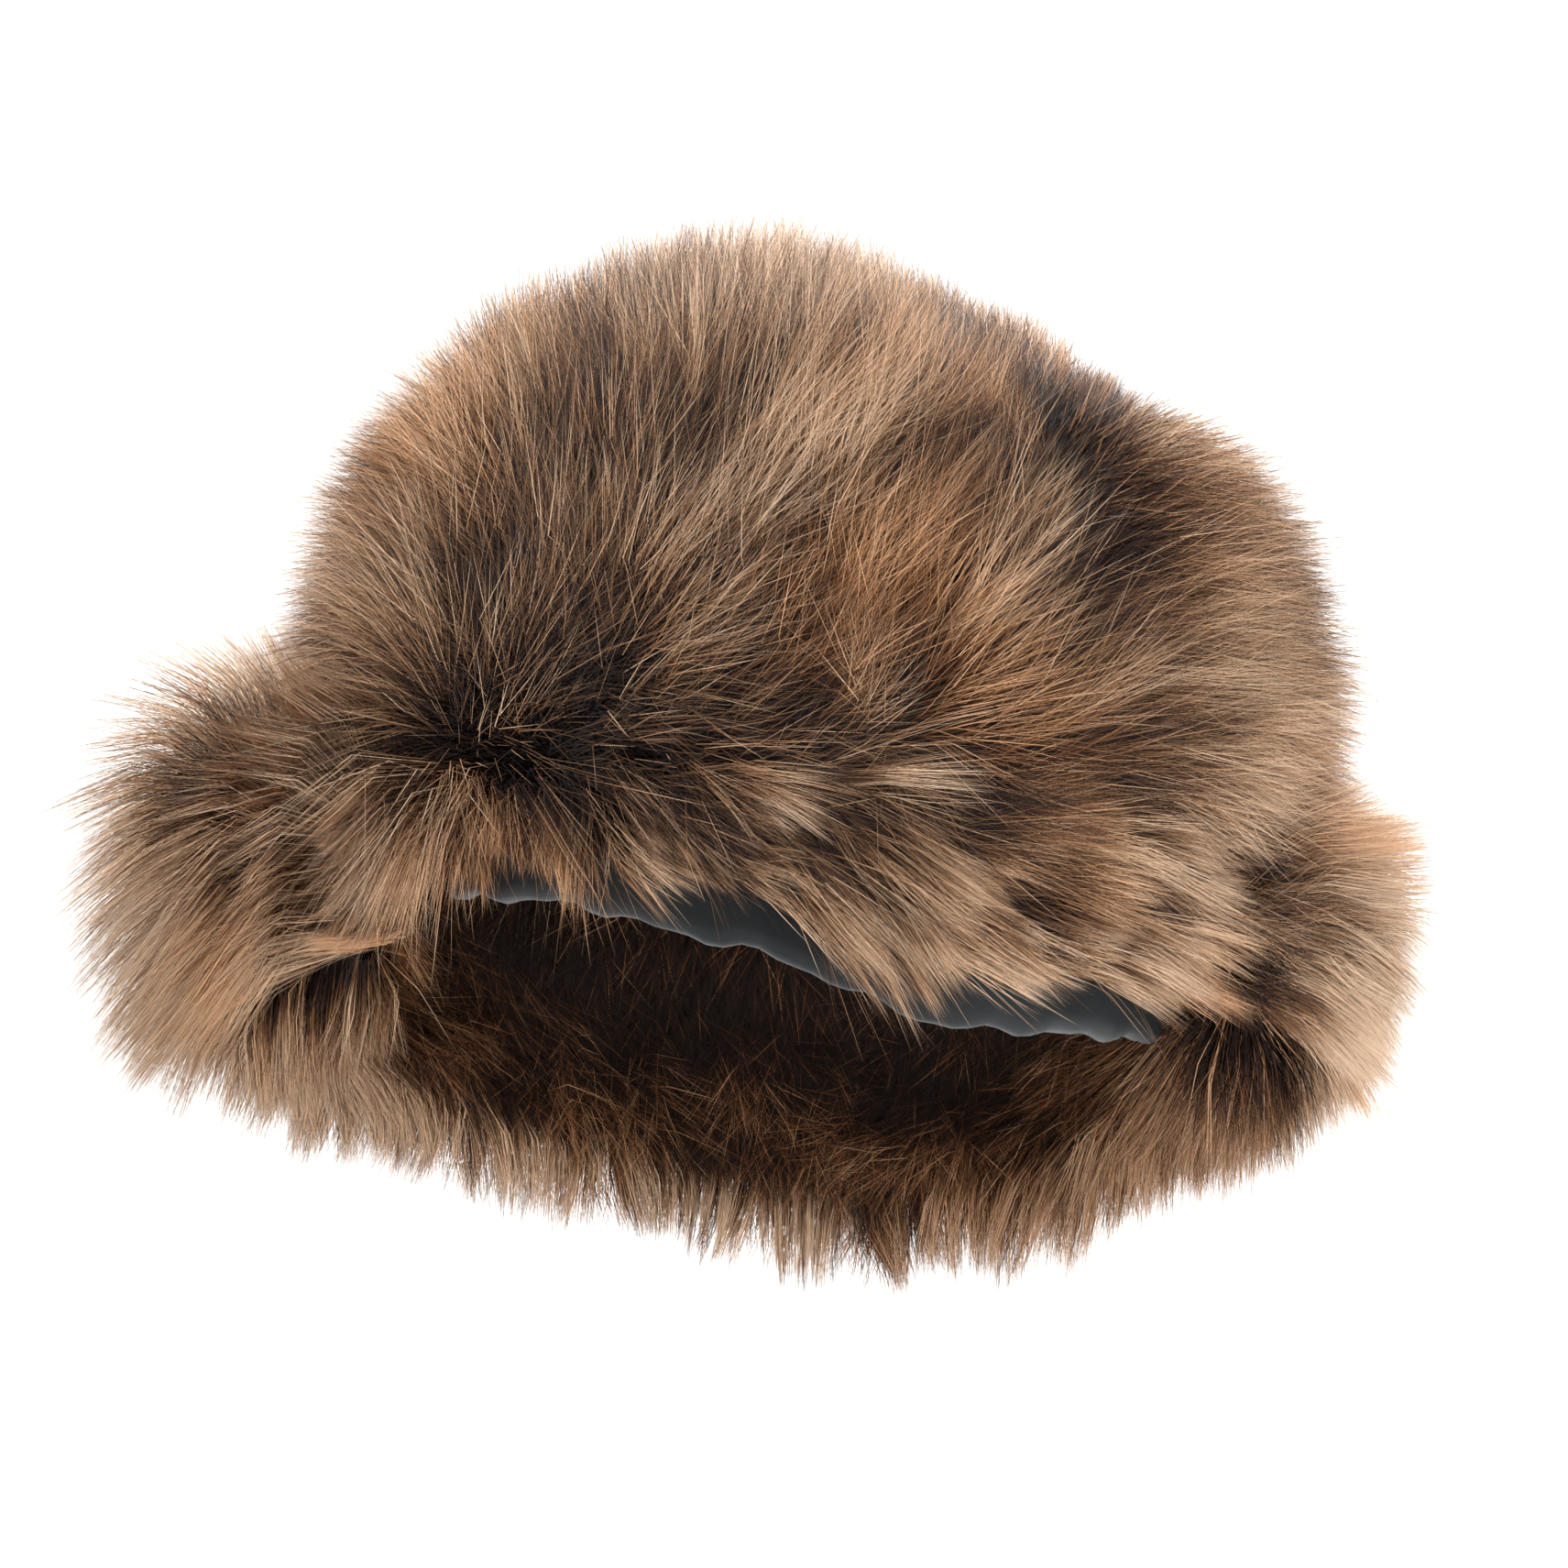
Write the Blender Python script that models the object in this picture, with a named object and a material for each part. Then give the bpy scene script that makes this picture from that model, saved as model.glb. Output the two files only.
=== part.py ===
"""An ushanka of long-pile fur with its flaps let down, built as a cap maker cuts it: a centre strip and
two side panels for the crown, a brow band, two flaps that meet at the back, each a hide with fur on both
of its sides, and a satin lining with a rolled hem. Metres, +Z up, the front of the hat faces -Y, and the
crown's lower seam lies in z = 0. Left and right are the wearer's."""

import math
import random

import bmesh
import bpy
from mathutils import Vector

# Head size and crown
HEAD_WIDTH = 0.164  # between the lining's sides
HEAD_LENGTH = 0.202  # between the lining's front and back
CROWN_DEPTH = 0.090  # from the seam plane up to the lining's inner top
PLAN_SQUARENESS = 2.2  # exponent of the plan's superellipse, 2 is an ellipse
SIDE_SQUARENESS = 3.0  # exponent of the crown's upright section

# Walls and clearances
LINING_WALL = 0.0020
CROWN_WALL = 0.0026  # knitted backing under the crown's pile
FLAP_WALL = 0.0030  # a flap's hide
GROUND = 0.0012  # the knitted ground of a flap's fur
WADDING_ROOM = 0.0026  # between lining and crown
SEAM_GAP = 0.0008  # between two pieces sewn edge to edge
FACING_GAP = 0.0008  # between a flap's hide and its fur

# Cutting lines
STRIP_WIDTH = 0.120  # centre strip, seam to seam
BROW_RIGHT_END = -50  # degrees round from the front, negative on the wearer's right
BROW_LEFT_END = 74
BROW_DROP = 0.0365  # crown seam to brow edge where the band is deepest
NECK_DROP = 0.074  # crown seam to the flaps' edge at the back
FLAP_FLARE = 0.038  # how far the flaps stand out where they stand out most
FLAP_LIFT = 0.016  # how far they bulge up on the way where they bulge most
FLAP_CURL = 138  # degrees of a half wave that a flap's section turns through, over 90 it curls back in
HEM_DROP = 0.012  # how far the lining's hem hangs below the brow band's backing
HEM_THICKNESS = 0.0070
HEM_LIP = 10  # degrees that its roll goes on past a half circle on each side
HEM_CLEAR = 0.0080  # from the seam plane up to the lining's first ring

# Pile: each lock's length, and how far it leans over in degrees from upright
CROWN_PILE = 0.041
CROWN_LEAN = 40
SEAM_LEAN = 54  # the side panels' lowest row leans up, clear of the flaps
NAPE_LEAN = -34  # and so does the strip's last row
BROW_PILE = 0.030
BROW_LEAN = 56
FLAP_PILE = 0.037
FLAP_LEAN = 36
EDGE_PILE = 0.022  # locks along the flaps' lower edge
INNER_PILE = 0.012
INNER_LEAN = 48
LEAN_AT_ROOT = 0.7  # share of its lean that a lock has up to its waist
LEAN_AT_TIP = 1.2  # and from there on
LOCK_WAIST = 0.90  # a lock's width at its waist, as a share of its root
WAIST_AT = 0.58  # and how far up the lock its waist is
LENGTH_SPREAD = 0.16  # share by which locks differ in length
TIP_WANDER = 0.0030

# Counts of cells, one lock to each
STRIP_ROW_COUNT = 18  # front to back, the side panels share them
STRIP_COLUMN_COUNT = 6
SIDE_ROW_COUNT = 4  # of the strip's rows, those that bound a side panel's front and back
BROW_COLUMN_COUNT = 11
BROW_ROW_COUNT = 2
FLAP_COLUMN_COUNT = 14
FLAP_ROW_COUNT = 5
LINING_SEGMENT_COUNT = 36
LINING_RING_COUNT = 5
HEM_FACET_COUNT = 6

# Brow band from its right end to its left end: drop as a share of BROW_DROP
BROW_SHAPE = [
    {"along": 0.00, "drop": 0.41},
    {"along": 0.18, "drop": 0.45},
    {"along": 0.40, "drop": 0.65},
    {"along": 0.65, "drop": 1.00},
    {"along": 1.00, "drop": 0.92},
]
# Flaps from their front edge to the middle of the back: drop as a share of NECK_DROP, flare as a share of
# FLAP_FLARE, lift as a share of FLAP_LIFT, shelf is how level the flap leaves the crown, 1 is level
RIGHT_FLAP_SHAPE = [
    {"along": 0.00, "drop": 0.48, "flare": 0.34, "lift": 0.20, "shelf": 0.50},
    {"along": 0.25, "drop": 0.58, "flare": 1.00, "lift": 1.00, "shelf": 1.00},
    {"along": 0.50, "drop": 0.70, "flare": 0.95, "lift": 0.80, "shelf": 0.85},
    {"along": 0.75, "drop": 0.88, "flare": 0.55, "lift": 0.20, "shelf": 0.45},
    {"along": 1.00, "drop": 1.00, "flare": 0.34, "lift": 0.00, "shelf": 0.25},
]
LEFT_FLAP_SHAPE = [
    {"along": 0.00, "drop": 0.40, "flare": 0.30, "lift": 0.10, "shelf": 0.35},
    {"along": 0.25, "drop": 0.43, "flare": 0.52, "lift": 0.50, "shelf": 0.60},
    {"along": 0.50, "drop": 0.54, "flare": 0.54, "lift": 0.50, "shelf": 0.60},
    {"along": 0.75, "drop": 0.80, "flare": 0.44, "lift": 0.10, "shelf": 0.40},
    {"along": 1.00, "drop": 1.00, "flare": 0.34, "lift": 0.00, "shelf": 0.25},
]
# Share of the flap's pile in each row down from the crown seam, where the crown's pile leaves it no room
FLAP_ROW_PILE = [0.0, 0.20, 0.75, 1.00, 1.00]
# Share of the crown's pile in each of the strip's columns from right to left, and in each side panel's rows
# from the rim up. It lies flatter on the left shoulder.
STRIP_COLUMN_PILE = [1.00, 1.00, 1.00, 0.90, 0.76, 0.62]
RIGHT_SIDE_ROW_PILE = [1.00, 1.00, 1.00, 1.00]
LEFT_SIDE_ROW_PILE = [1.00, 1.00, 0.90, 0.70]

# Looks
FUR_COLOUR = (0.36, 0.24, 0.15)
FUR_ROUGHNESS = 0.75
HIDE_COLOUR = (0.045, 0.032, 0.028)
HIDE_ROUGHNESS = 0.8
SATIN_COLOUR = (0.018, 0.020, 0.022)
SATIN_ROUGHNESS = 0.35
SHARP_EDGE = 50  # degrees between two faces from which their edge shows as a crease


def dome(wall):
    """Half axes (x, y, z) of the surface that lies this far outside the lining's inner face."""
    return (HEAD_WIDTH / 2 + wall, HEAD_LENGTH / 2 + wall, CROWN_DEPTH + wall)


LINING_INNER = dome(0)
LINING_OUTER = dome(LINING_WALL)
CROWN_INNER = dome(LINING_WALL + WADDING_ROOM)
CROWN_OUTER = dome(LINING_WALL + WADDING_ROOM + CROWN_WALL)
FLAP_MIDDLE = dome(LINING_WALL + WADDING_ROOM + GROUND + FACING_GAP + FLAP_WALL / 2)


def on_dome(point, axes):
    """The point moved straight out from the origin onto the crown surface with these half axes."""
    plan = abs(point[0] / axes[0]) ** PLAN_SQUARENESS + abs(point[1] / axes[1]) ** PLAN_SQUARENESS
    size = plan ** (SIDE_SQUARENESS / PLAN_SQUARENESS) + abs(point[2] / axes[2]) ** SIDE_SQUARENESS
    return Vector(point) / size ** (1 / SIDE_SQUARENESS)


def on_rim(angle, axes, z=0.0):
    """The point of the plan's outline at this angle from the front, in degrees, at height z."""
    turn = math.radians(angle)
    point = on_dome((axes[0] * math.sin(turn), -axes[1] * math.cos(turn), 0), axes)
    return Vector((point.x, point.y, z))


def upright_section(turn):
    """The crown's unit section: how far out and how high it is, turn degrees up from the rim."""
    out, high = math.cos(math.radians(turn)), math.sin(math.radians(turn))
    size = (abs(out) ** SIDE_SQUARENESS + abs(high) ** SIDE_SQUARENESS) ** (1 / SIDE_SQUARENESS)
    return out / size, high / size


def read_shape(table, along, column):
    """A column of a shape table at a place between its rows, eased at each row."""
    for low, high in zip(table, table[1:]):
        if along <= high["along"]:
            share = (along - low["along"]) / (high["along"] - low["along"])
            eased = (share + share * share * (3 - 2 * share)) / 2
            return low[column] + (high[column] - low[column]) * eased
    return table[-1][column]


def spread(count):
    return [i / count for i in range(count + 1)]


def material(name, colour, roughness):
    made = bpy.data.materials.new(name)
    made.use_nodes = True
    shader = made.node_tree.nodes["Principled BSDF"]
    shader.inputs["Base Color"].default_value = (*colour, 1)
    shader.inputs["Roughness"].default_value = roughness
    shader.inputs["Metallic"].default_value = 0
    return made


def slab(shown, hidden):
    """A closed wall between two grids of points, its hidden side in triangles. Returns its bmesh and the
    faces of the shown side, each with its row and column."""
    bm = bmesh.new()
    rows, columns = len(shown) - 1, len(shown[0]) - 1
    near = [[bm.verts.new(p) for p in row] for row in shown]
    far = [[bm.verts.new(p) for p in row] for row in hidden]
    cells, hidden_faces = [], []
    for i in range(rows):
        for j in range(columns):
            corners = ((i, j), (i, j + 1), (i + 1, j + 1), (i + 1, j))
            cells.append((bm.faces.new([near[a][b] for a, b in corners]), i, j))
            hidden_faces.append(bm.faces.new([far[a][b] for a, b in corners[:1] + corners[:0:-1]]))
    for j in range(columns):
        bm.faces.new((near[0][j + 1], near[0][j], far[0][j], far[0][j + 1]))
        bm.faces.new((near[rows][j], near[rows][j + 1], far[rows][j + 1], far[rows][j]))
    for i in range(rows):
        bm.faces.new((near[i][0], near[i + 1][0], far[i + 1][0], far[i][0]))
        bm.faces.new((near[i + 1][columns], near[i][columns], far[i][columns], far[i + 1][columns]))
    if bm.calc_volume(signed=True) < 0:
        bmesh.ops.reverse_faces(bm, faces=bm.faces[:])
    bmesh.ops.triangulate(bm, faces=hidden_faces, quad_method="FIXED")
    bm.normal_update()
    return bm, cells


def down_grid(grid, i, j):
    """The direction in which a grid's rows run on past the middle of cell (i, j)."""
    return (grid[i + 1][j] + grid[i + 1][j + 1] - grid[i][j] - grid[i][j + 1]).normalized()


def across_grid(grid, i, j):
    return (grid[i][j + 1] + grid[i + 1][j + 1] - grid[i][j] - grid[i + 1][j]).normalized()


def grow_lock(bm, face, flow, length, lean, chance):
    """Extrudes one face of the backing into a tapered lock that bends over in the direction of flow."""
    length *= 1 + LENGTH_SPREAD * chance.uniform(-1, 1)
    wander = TIP_WANDER * chance.uniform(-1, 1)
    if length <= 0:
        return
    up = face.normal.copy()
    centre = face.calc_center_median()
    flow = (flow - up * flow.dot(up)).normalized()
    root_lean, tip_lean = math.radians(lean * LEAN_AT_ROOT), math.radians(lean * LEAN_AT_TIP)
    waist = (up * math.cos(root_lean) + flow * math.sin(root_lean)) * length * WAIST_AT
    tip = waist + (up * math.cos(tip_lean) + flow * math.sin(tip_lean)) * length * (1 - WAIST_AT)
    top = bmesh.ops.extrude_discrete_faces(bm, faces=[face])["faces"][0]
    for vert in top.verts:
        vert.co = centre + waist + (vert.co - centre) * LOCK_WAIST
    point = bmesh.ops.poke(bm, faces=[top])["verts"][0]
    point.co = centre + tip + up.cross(flow) * wander


def finish(bm, name, colour_material):
    mesh = bpy.data.meshes.new(name)
    bm.to_mesh(mesh)
    bm.free()
    mesh.materials.append(colour_material)
    mesh.shade_smooth()
    mesh.set_sharp_from_angle(angle=math.radians(SHARP_EDGE))
    made = bpy.data.objects.new(name, mesh)
    bpy.context.scene.collection.objects.link(made)


def strip_point(offset, share):
    """A point over the crown, offset sideways from its middle, share of the way from front to back."""
    out, high = upright_section(180 * share)
    return Vector((offset, -CROWN_OUTER[1] * out, CROWN_OUTER[2] * max(high, 0)))


def crown_panel(points):
    """The slab of a crown panel from a grid of points near its surface, its outer grid and its cells."""
    outer = [[on_dome(p, CROWN_OUTER) for p in row] for row in points]
    inner = [[on_dome(p, CROWN_INNER) for p in row] for row in points]
    bm, cells = slab(outer, inner)
    return bm, outer, cells


def crown_centre(fur):
    """The strip from the brow over the top to the nape, its pile combed from front to back."""
    half = STRIP_WIDTH / 2 - SEAM_GAP / 2
    points = [
        [strip_point(half * (2 * across - 1), along) for across in spread(STRIP_COLUMN_COUNT)]
        for along in spread(STRIP_ROW_COUNT)
    ]
    bm, outer, cells = crown_panel(points)
    chance = random.Random(11)
    for face, i, j in cells:
        behind = max(2 * (i + 1) / STRIP_ROW_COUNT - 1, 0)
        lean = CROWN_LEAN + (NAPE_LEAN - CROWN_LEAN) * behind
        grow_lock(bm, face, down_grid(outer, i, j), CROWN_PILE * STRIP_COLUMN_PILE[j], lean, chance)
    finish(bm, "crown_centre", fur)


def crown_side(name, side, row_pile, fur):
    """The panel beside the strip. Three of its edges follow the strip's seam and the fourth the rim."""
    half = side * (STRIP_WIDTH / 2 + SEAM_GAP / 2)
    columns = STRIP_ROW_COUNT - 2 * SIDE_ROW_COUNT
    seam = [on_dome(strip_point(half, along), CROWN_OUTER) for along in spread(STRIP_ROW_COUNT)]
    start = math.degrees(math.atan2(seam[0].x / CROWN_OUTER[0], -seam[0].y / CROWN_OUTER[1]))
    end = side * 180 - start
    rim = [on_rim(start + (end - start) * share, CROWN_OUTER) for share in spread(columns)]
    front, back = seam[: SIDE_ROW_COUNT + 1], seam[-SIDE_ROW_COUNT - 1 :][::-1]
    top = seam[SIDE_ROW_COUNT:-SIDE_ROW_COUNT]
    points = []
    for i, up in enumerate(spread(SIDE_ROW_COUNT)):
        row = []
        for j, along in enumerate(spread(columns)):
            ruled = rim[j].lerp(top[j], up) + front[i].lerp(back[i], along)
            corners = rim[0].lerp(rim[-1], along).lerp(top[0].lerp(top[-1], along), up)
            row.append(ruled - corners)
        points.append(row)
    bm, outer, cells = crown_panel(points)
    chance = random.Random(23 + side)
    for face, i, j in cells:
        upward = max(1 - 2 * i / SIDE_ROW_COUNT, 0)
        backward = (1 - upward) * (1 - (j + 1) / columns)
        flow = down_grid(outer, i, j) * upward + across_grid(outer, i, j) * backward
        lean = SEAM_LEAN if i == 0 else CROWN_LEAN * min(flow.length, 1)
        grow_lock(bm, face, flow, CROWN_PILE * row_pile[i], lean, chance)
    finish(bm, name, fur)


def brow_angle(along):
    return BROW_RIGHT_END + (BROW_LEFT_END - BROW_RIGHT_END) * along


def brow_drop(along):
    return BROW_DROP * read_shape(BROW_SHAPE, along, "drop")


def brow_band(fur):
    """The band under the crown's front, its pile combed down over the brow edge."""
    outer, inner = [], []
    for down in spread(BROW_ROW_COUNT):
        outer.append([])
        inner.append([])
        for along in spread(BROW_COLUMN_COUNT):
            z = -SEAM_GAP - (brow_drop(along) - SEAM_GAP) * down
            outer[-1].append(on_rim(brow_angle(along), CROWN_OUTER, z))
            inner[-1].append(on_rim(brow_angle(along), CROWN_INNER, z))
    bm, cells = slab(outer, inner)
    chance = random.Random(31)
    for face, i, j in cells:
        grow_lock(bm, face, down_grid(outer, i, j), BROW_PILE, BROW_LEAN, chance)
    finish(bm, "brow_band", fur)


def flap_middle(side, table):
    """The grid of points midway through a flap's wall, from the crown seam down, and from front to back."""
    clear = math.degrees(2 * SEAM_GAP / HEAD_WIDTH)
    start = (BROW_LEFT_END if side > 0 else BROW_RIGHT_END) + side * clear
    end = side * (180 - clear)
    grid = []
    for down in spread(FLAP_ROW_COUNT):
        row = []
        for along in spread(FLAP_COLUMN_COUNT):
            angle = start + (end - start) * along
            rim = on_rim(angle, FLAP_MIDDLE)
            away = (on_rim(angle, CROWN_OUTER) - on_rim(angle, LINING_INNER)).normalized()
            stands = math.sin(math.radians(FLAP_CURL * down))
            out = FLAP_FLARE * read_shape(table, along, "flare") * stands
            fall = down ** (1 + read_shape(table, along, "shelf"))
            bulge = FLAP_LIFT * read_shape(table, along, "lift") * math.sin(math.pi * down)
            below = NECK_DROP * read_shape(table, along, "drop") * fall - bulge
            row.append(rim + away * out - Vector((0, 0, SEAM_GAP + below)))
        grid.append(row)
    return grid


def flap_directions(middle, side):
    """For each point of a flap's middle grid, the directions out of its wall and down along it."""
    outs, falls = [], []
    last_row, last_column = len(middle) - 1, len(middle[0]) - 1
    for i, row in enumerate(middle):
        outs.append([])
        falls.append([])
        for j in range(len(row)):
            fall = middle[min(i + 1, last_row)][j] - middle[max(i - 1, 0)][j]
            along = row[min(j + 1, last_column)] - row[max(j - 1, 0)]
            outs[-1].append(along.cross(fall).normalized() * -side)
            falls[-1].append(fall.normalized())
    return outs, falls


def moved(grid, directions, distance):
    return [[p + d * distance for p, d in zip(*rows)] for rows in zip(grid, directions)]


def flap(name, side, table, hide, fur):
    """A flap from the brow band's end round to the middle of the back: its hide, its fur and its inner fur.
    Where it leaves the crown level it is set lower, so that its fur's backing stays under the crown. The fur
    turns in under the hide's lower edge."""
    middle = flap_middle(side, table)
    outs, falls = flap_directions(middle, side)
    half = FLAP_WALL / 2
    facing = half + FACING_GAP
    for row in middle:
        for point, out in zip(row, outs[0]):
            point.z -= max(out.z, 0) * (facing + GROUND)
    bm, cells = slab(moved(middle, outs, half), moved(middle, outs, -half))
    bmesh.ops.triangulate(bm, faces=[cell[0] for cell in cells], quad_method="FIXED")
    finish(bm, name, hide)

    top, ground = moved(middle, outs, facing + GROUND), moved(middle, outs, facing)
    for grid, under in ((top, FACING_GAP + GROUND), (ground, FACING_GAP)):
        grid[-1] = [p + d * under for p, d in zip(grid[-1], falls[-1])]
        grid.append([p - o * half + d * under for p, o, d in zip(middle[-1], outs[-1], falls[-1])])
    bm, cells = slab(top, ground)
    chance = random.Random(47 + side)
    for face, i, j in cells:
        pile, lean = (FLAP_PILE * FLAP_ROW_PILE[i], FLAP_LEAN) if i < FLAP_ROW_COUNT else (EDGE_PILE, 0)
        grow_lock(bm, face, down_grid(top, i, j), pile, lean, chance)
    finish(bm, name + "_fur", fur)

    inner = moved(middle, outs, -facing - GROUND)
    bm, cells = slab(inner, moved(middle, outs, -facing))
    for face, i, j in cells:
        grow_lock(bm, face, down_grid(inner, i, j), INNER_PILE * FLAP_ROW_PILE[i], INNER_LEAN, chance)
    finish(bm, name + "_inner_fur", fur)


def hem_section(angle):
    """The height of the hem's middle at an angle from the front, and its thickness there."""
    along = (angle - BROW_RIGHT_END) / (BROW_LEFT_END - BROW_RIGHT_END)
    if 0 < along < 1:
        return -brow_drop(along) - HEM_DROP + HEM_THICKNESS / 2, HEM_THICKNESS
    return SEAM_GAP + LINING_WALL / 2, LINING_WALL


def lining(satin):
    """The dome in which the head sits. In front it runs down behind the brow band to a rolled hem."""
    bm = bmesh.new()
    sections = []
    for k in range(LINING_SEGMENT_COUNT):
        angle = 360 * (k + 0.5) / LINING_SEGMENT_COUNT - 180
        sections.append([bm.verts.new(p) for p in lining_section(angle)])
    inner_top = bm.verts.new((0, 0, LINING_INNER[2]))
    outer_top = bm.verts.new((0, 0, LINING_OUTER[2]))
    for here, after in zip(sections, sections[1:] + sections[:1]):
        bm.faces.new((inner_top, here[0], after[0]))
        bm.faces.new((outer_top, after[-1], here[-1]))
        for a in range(len(here) - 1):
            bm.faces.new((here[a], here[a + 1], after[a + 1], after[a]))
    bmesh.ops.recalc_face_normals(bm, faces=bm.faces[:])
    finish(bm, "lining", satin)


def lining_section(angle):
    """Points down the lining's inner face, round its hem and up its outer face."""
    edge_z, thickness = hem_section(angle)
    wall = []
    for axes in (LINING_INNER, LINING_OUTER):
        rim = on_rim(angle, axes)
        points = []
        for share in spread(LINING_RING_COUNT)[:-1]:
            out, high = upright_section(90 * share)
            lifted = axes[2] * high if share else HEM_CLEAR
            points.append(Vector((rim.x * out, rim.y * out, lifted)))
        wall.append(points)
    inner, outer = wall
    away = (on_rim(angle, LINING_OUTER) - on_rim(angle, LINING_INNER)).normalized()
    centre = on_rim(angle, LINING_OUTER, edge_z) - away * thickness / 2
    hem = []
    for share in spread(HEM_FACET_COUNT):
        turn = math.radians((180 + 2 * HEM_LIP) * share - 180 - HEM_LIP)
        hem.append(centre + (away * math.cos(turn) + Vector((0, 0, math.sin(turn)))) * thickness / 2)
    return inner[::-1] + hem + outer


def main():
    for old in list(bpy.data.objects):
        bpy.data.objects.remove(old, do_unlink=True)
    fur = material("fur", FUR_COLOUR, FUR_ROUGHNESS)
    hide = material("hide", HIDE_COLOUR, HIDE_ROUGHNESS)
    satin = material("satin", SATIN_COLOUR, SATIN_ROUGHNESS)
    crown_centre(fur)
    crown_side("crown_side_left", 1, LEFT_SIDE_ROW_PILE, fur)
    crown_side("crown_side_right", -1, RIGHT_SIDE_ROW_PILE, fur)
    brow_band(fur)
    flap("ear_flap_left", 1, LEFT_FLAP_SHAPE, hide, fur)
    flap("ear_flap_right", -1, RIGHT_FLAP_SHAPE, hide, fur)
    lining(satin)


main()
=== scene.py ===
"""The looks of a long-pile fur ushanka, held up as if worn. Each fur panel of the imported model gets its
skin and its pile, every hair a thin tapered blade, and the lining its creased satin. Metres, +Z up, the
front of the hat faces -Y, left and right are the wearer's."""
import math

import bpy
import numpy as np
from mathutils import Matrix, Vector, kdtree, noise


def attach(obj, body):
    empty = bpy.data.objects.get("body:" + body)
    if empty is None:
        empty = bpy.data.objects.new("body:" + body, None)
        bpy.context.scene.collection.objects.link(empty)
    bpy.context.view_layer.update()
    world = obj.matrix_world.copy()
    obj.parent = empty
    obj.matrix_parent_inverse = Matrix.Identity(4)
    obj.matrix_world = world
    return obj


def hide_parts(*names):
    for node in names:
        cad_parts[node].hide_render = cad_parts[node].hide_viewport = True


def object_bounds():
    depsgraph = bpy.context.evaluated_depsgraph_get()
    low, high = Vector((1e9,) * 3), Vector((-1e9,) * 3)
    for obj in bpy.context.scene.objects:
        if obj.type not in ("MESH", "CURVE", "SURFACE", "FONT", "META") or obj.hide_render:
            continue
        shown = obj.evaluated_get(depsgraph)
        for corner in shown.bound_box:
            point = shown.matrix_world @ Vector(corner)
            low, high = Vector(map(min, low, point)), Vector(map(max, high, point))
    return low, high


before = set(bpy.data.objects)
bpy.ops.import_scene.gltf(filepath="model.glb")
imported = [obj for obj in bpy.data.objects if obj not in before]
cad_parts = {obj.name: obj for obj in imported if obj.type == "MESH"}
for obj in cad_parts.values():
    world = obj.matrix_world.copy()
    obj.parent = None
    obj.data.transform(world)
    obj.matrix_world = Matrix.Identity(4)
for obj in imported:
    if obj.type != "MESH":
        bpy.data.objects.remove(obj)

CAD_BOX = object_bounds()
noise.seed_set(3)  # without it the pile would wave differently on each run

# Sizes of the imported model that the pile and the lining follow
HEAD_WIDTH = 0.164
HEAD_LENGTH = 0.202
CROWN_DEPTH = 0.090
PLAN_SQUARENESS = 2.2
SIDE_SQUARENESS = 3.0
LINING_WALL = 0.0020
CROWN_WALL = 0.0026
FLAP_WALL = 0.0030
GROUND = 0.0012
WADDING_ROOM = 0.0026
SEAM_GAP = 0.0008
FACING_GAP = 0.0008
STRIP_WIDTH = 0.120
BROW_RIGHT_END = -50
BROW_LEFT_END = 74
BROW_DROP = 0.0365
NECK_DROP = 0.074
FLAP_FLARE = 0.038
FLAP_LIFT = 0.016
FLAP_CURL = 138
HEM_DROP = 0.012
HEM_THICKNESS = 0.0070
SIDE_SHARE = 4 / 18  # of the strip's length, what bounds a side panel's front and its back

# Brow band from right to left, flaps from front to back: drop, flare and lift as shares of the named
# sizes, and shelf for how slowly a flap starts to fall
BROW_SHAPE = {
    "along": [0.00, 0.18, 0.40, 0.65, 1.00],
    "drop": [0.41, 0.45, 0.65, 1.00, 0.92],
}
RIGHT_FLAP_SHAPE = {
    "along": [0.00, 0.25, 0.50, 0.75, 1.00],
    "drop": [0.48, 0.58, 0.70, 0.88, 1.00],
    "flare": [0.34, 1.00, 0.95, 0.55, 0.34],
    "lift": [0.20, 1.00, 0.80, 0.20, 0.00],
    "shelf": [0.50, 1.00, 0.85, 0.45, 0.25],
}
LEFT_FLAP_SHAPE = {
    "along": [0.00, 0.25, 0.50, 0.75, 1.00],
    "drop": [0.40, 0.43, 0.54, 0.80, 1.00],
    "flare": [0.30, 0.52, 0.54, 0.44, 0.34],
    "lift": [0.10, 0.50, 0.50, 0.10, 0.00],
    "shelf": [0.35, 0.60, 0.60, 0.40, 0.25],
}

# Share of the crown's pile at even steps across the strip from right to left, and from each side panel's
# rim up
STRIP_PILE = [0.96, 1.05, 1.10, 1.00, 0.82, 0.62]
RIGHT_SIDE_PILE = [1.10, 1.12, 1.10, 1.00]
LEFT_SIDE_PILE = [1.10, 1.16, 1.10, 0.55]

# Lining
LINING_SEGMENTS = 144  # around
LINING_RINGS = 22  # from the top down to the hem
HEM_FACETS = 10
HEM_START = -190  # degrees at which the hem's roll leaves the inner wall
HEM_TURN = 200  # and how far it goes round
HEM_FOLDS = [(23, 0.0006), (41, 0.0005)]  # waves around the hem in all and each one's height
LINING_CREASES = 9
CREASE_SHARE = 0.0056  # share of its radius that a crease draws the lining in, at its rim
RIM_HEIGHT = 0.004  # the lowest ring of its wall

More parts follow.
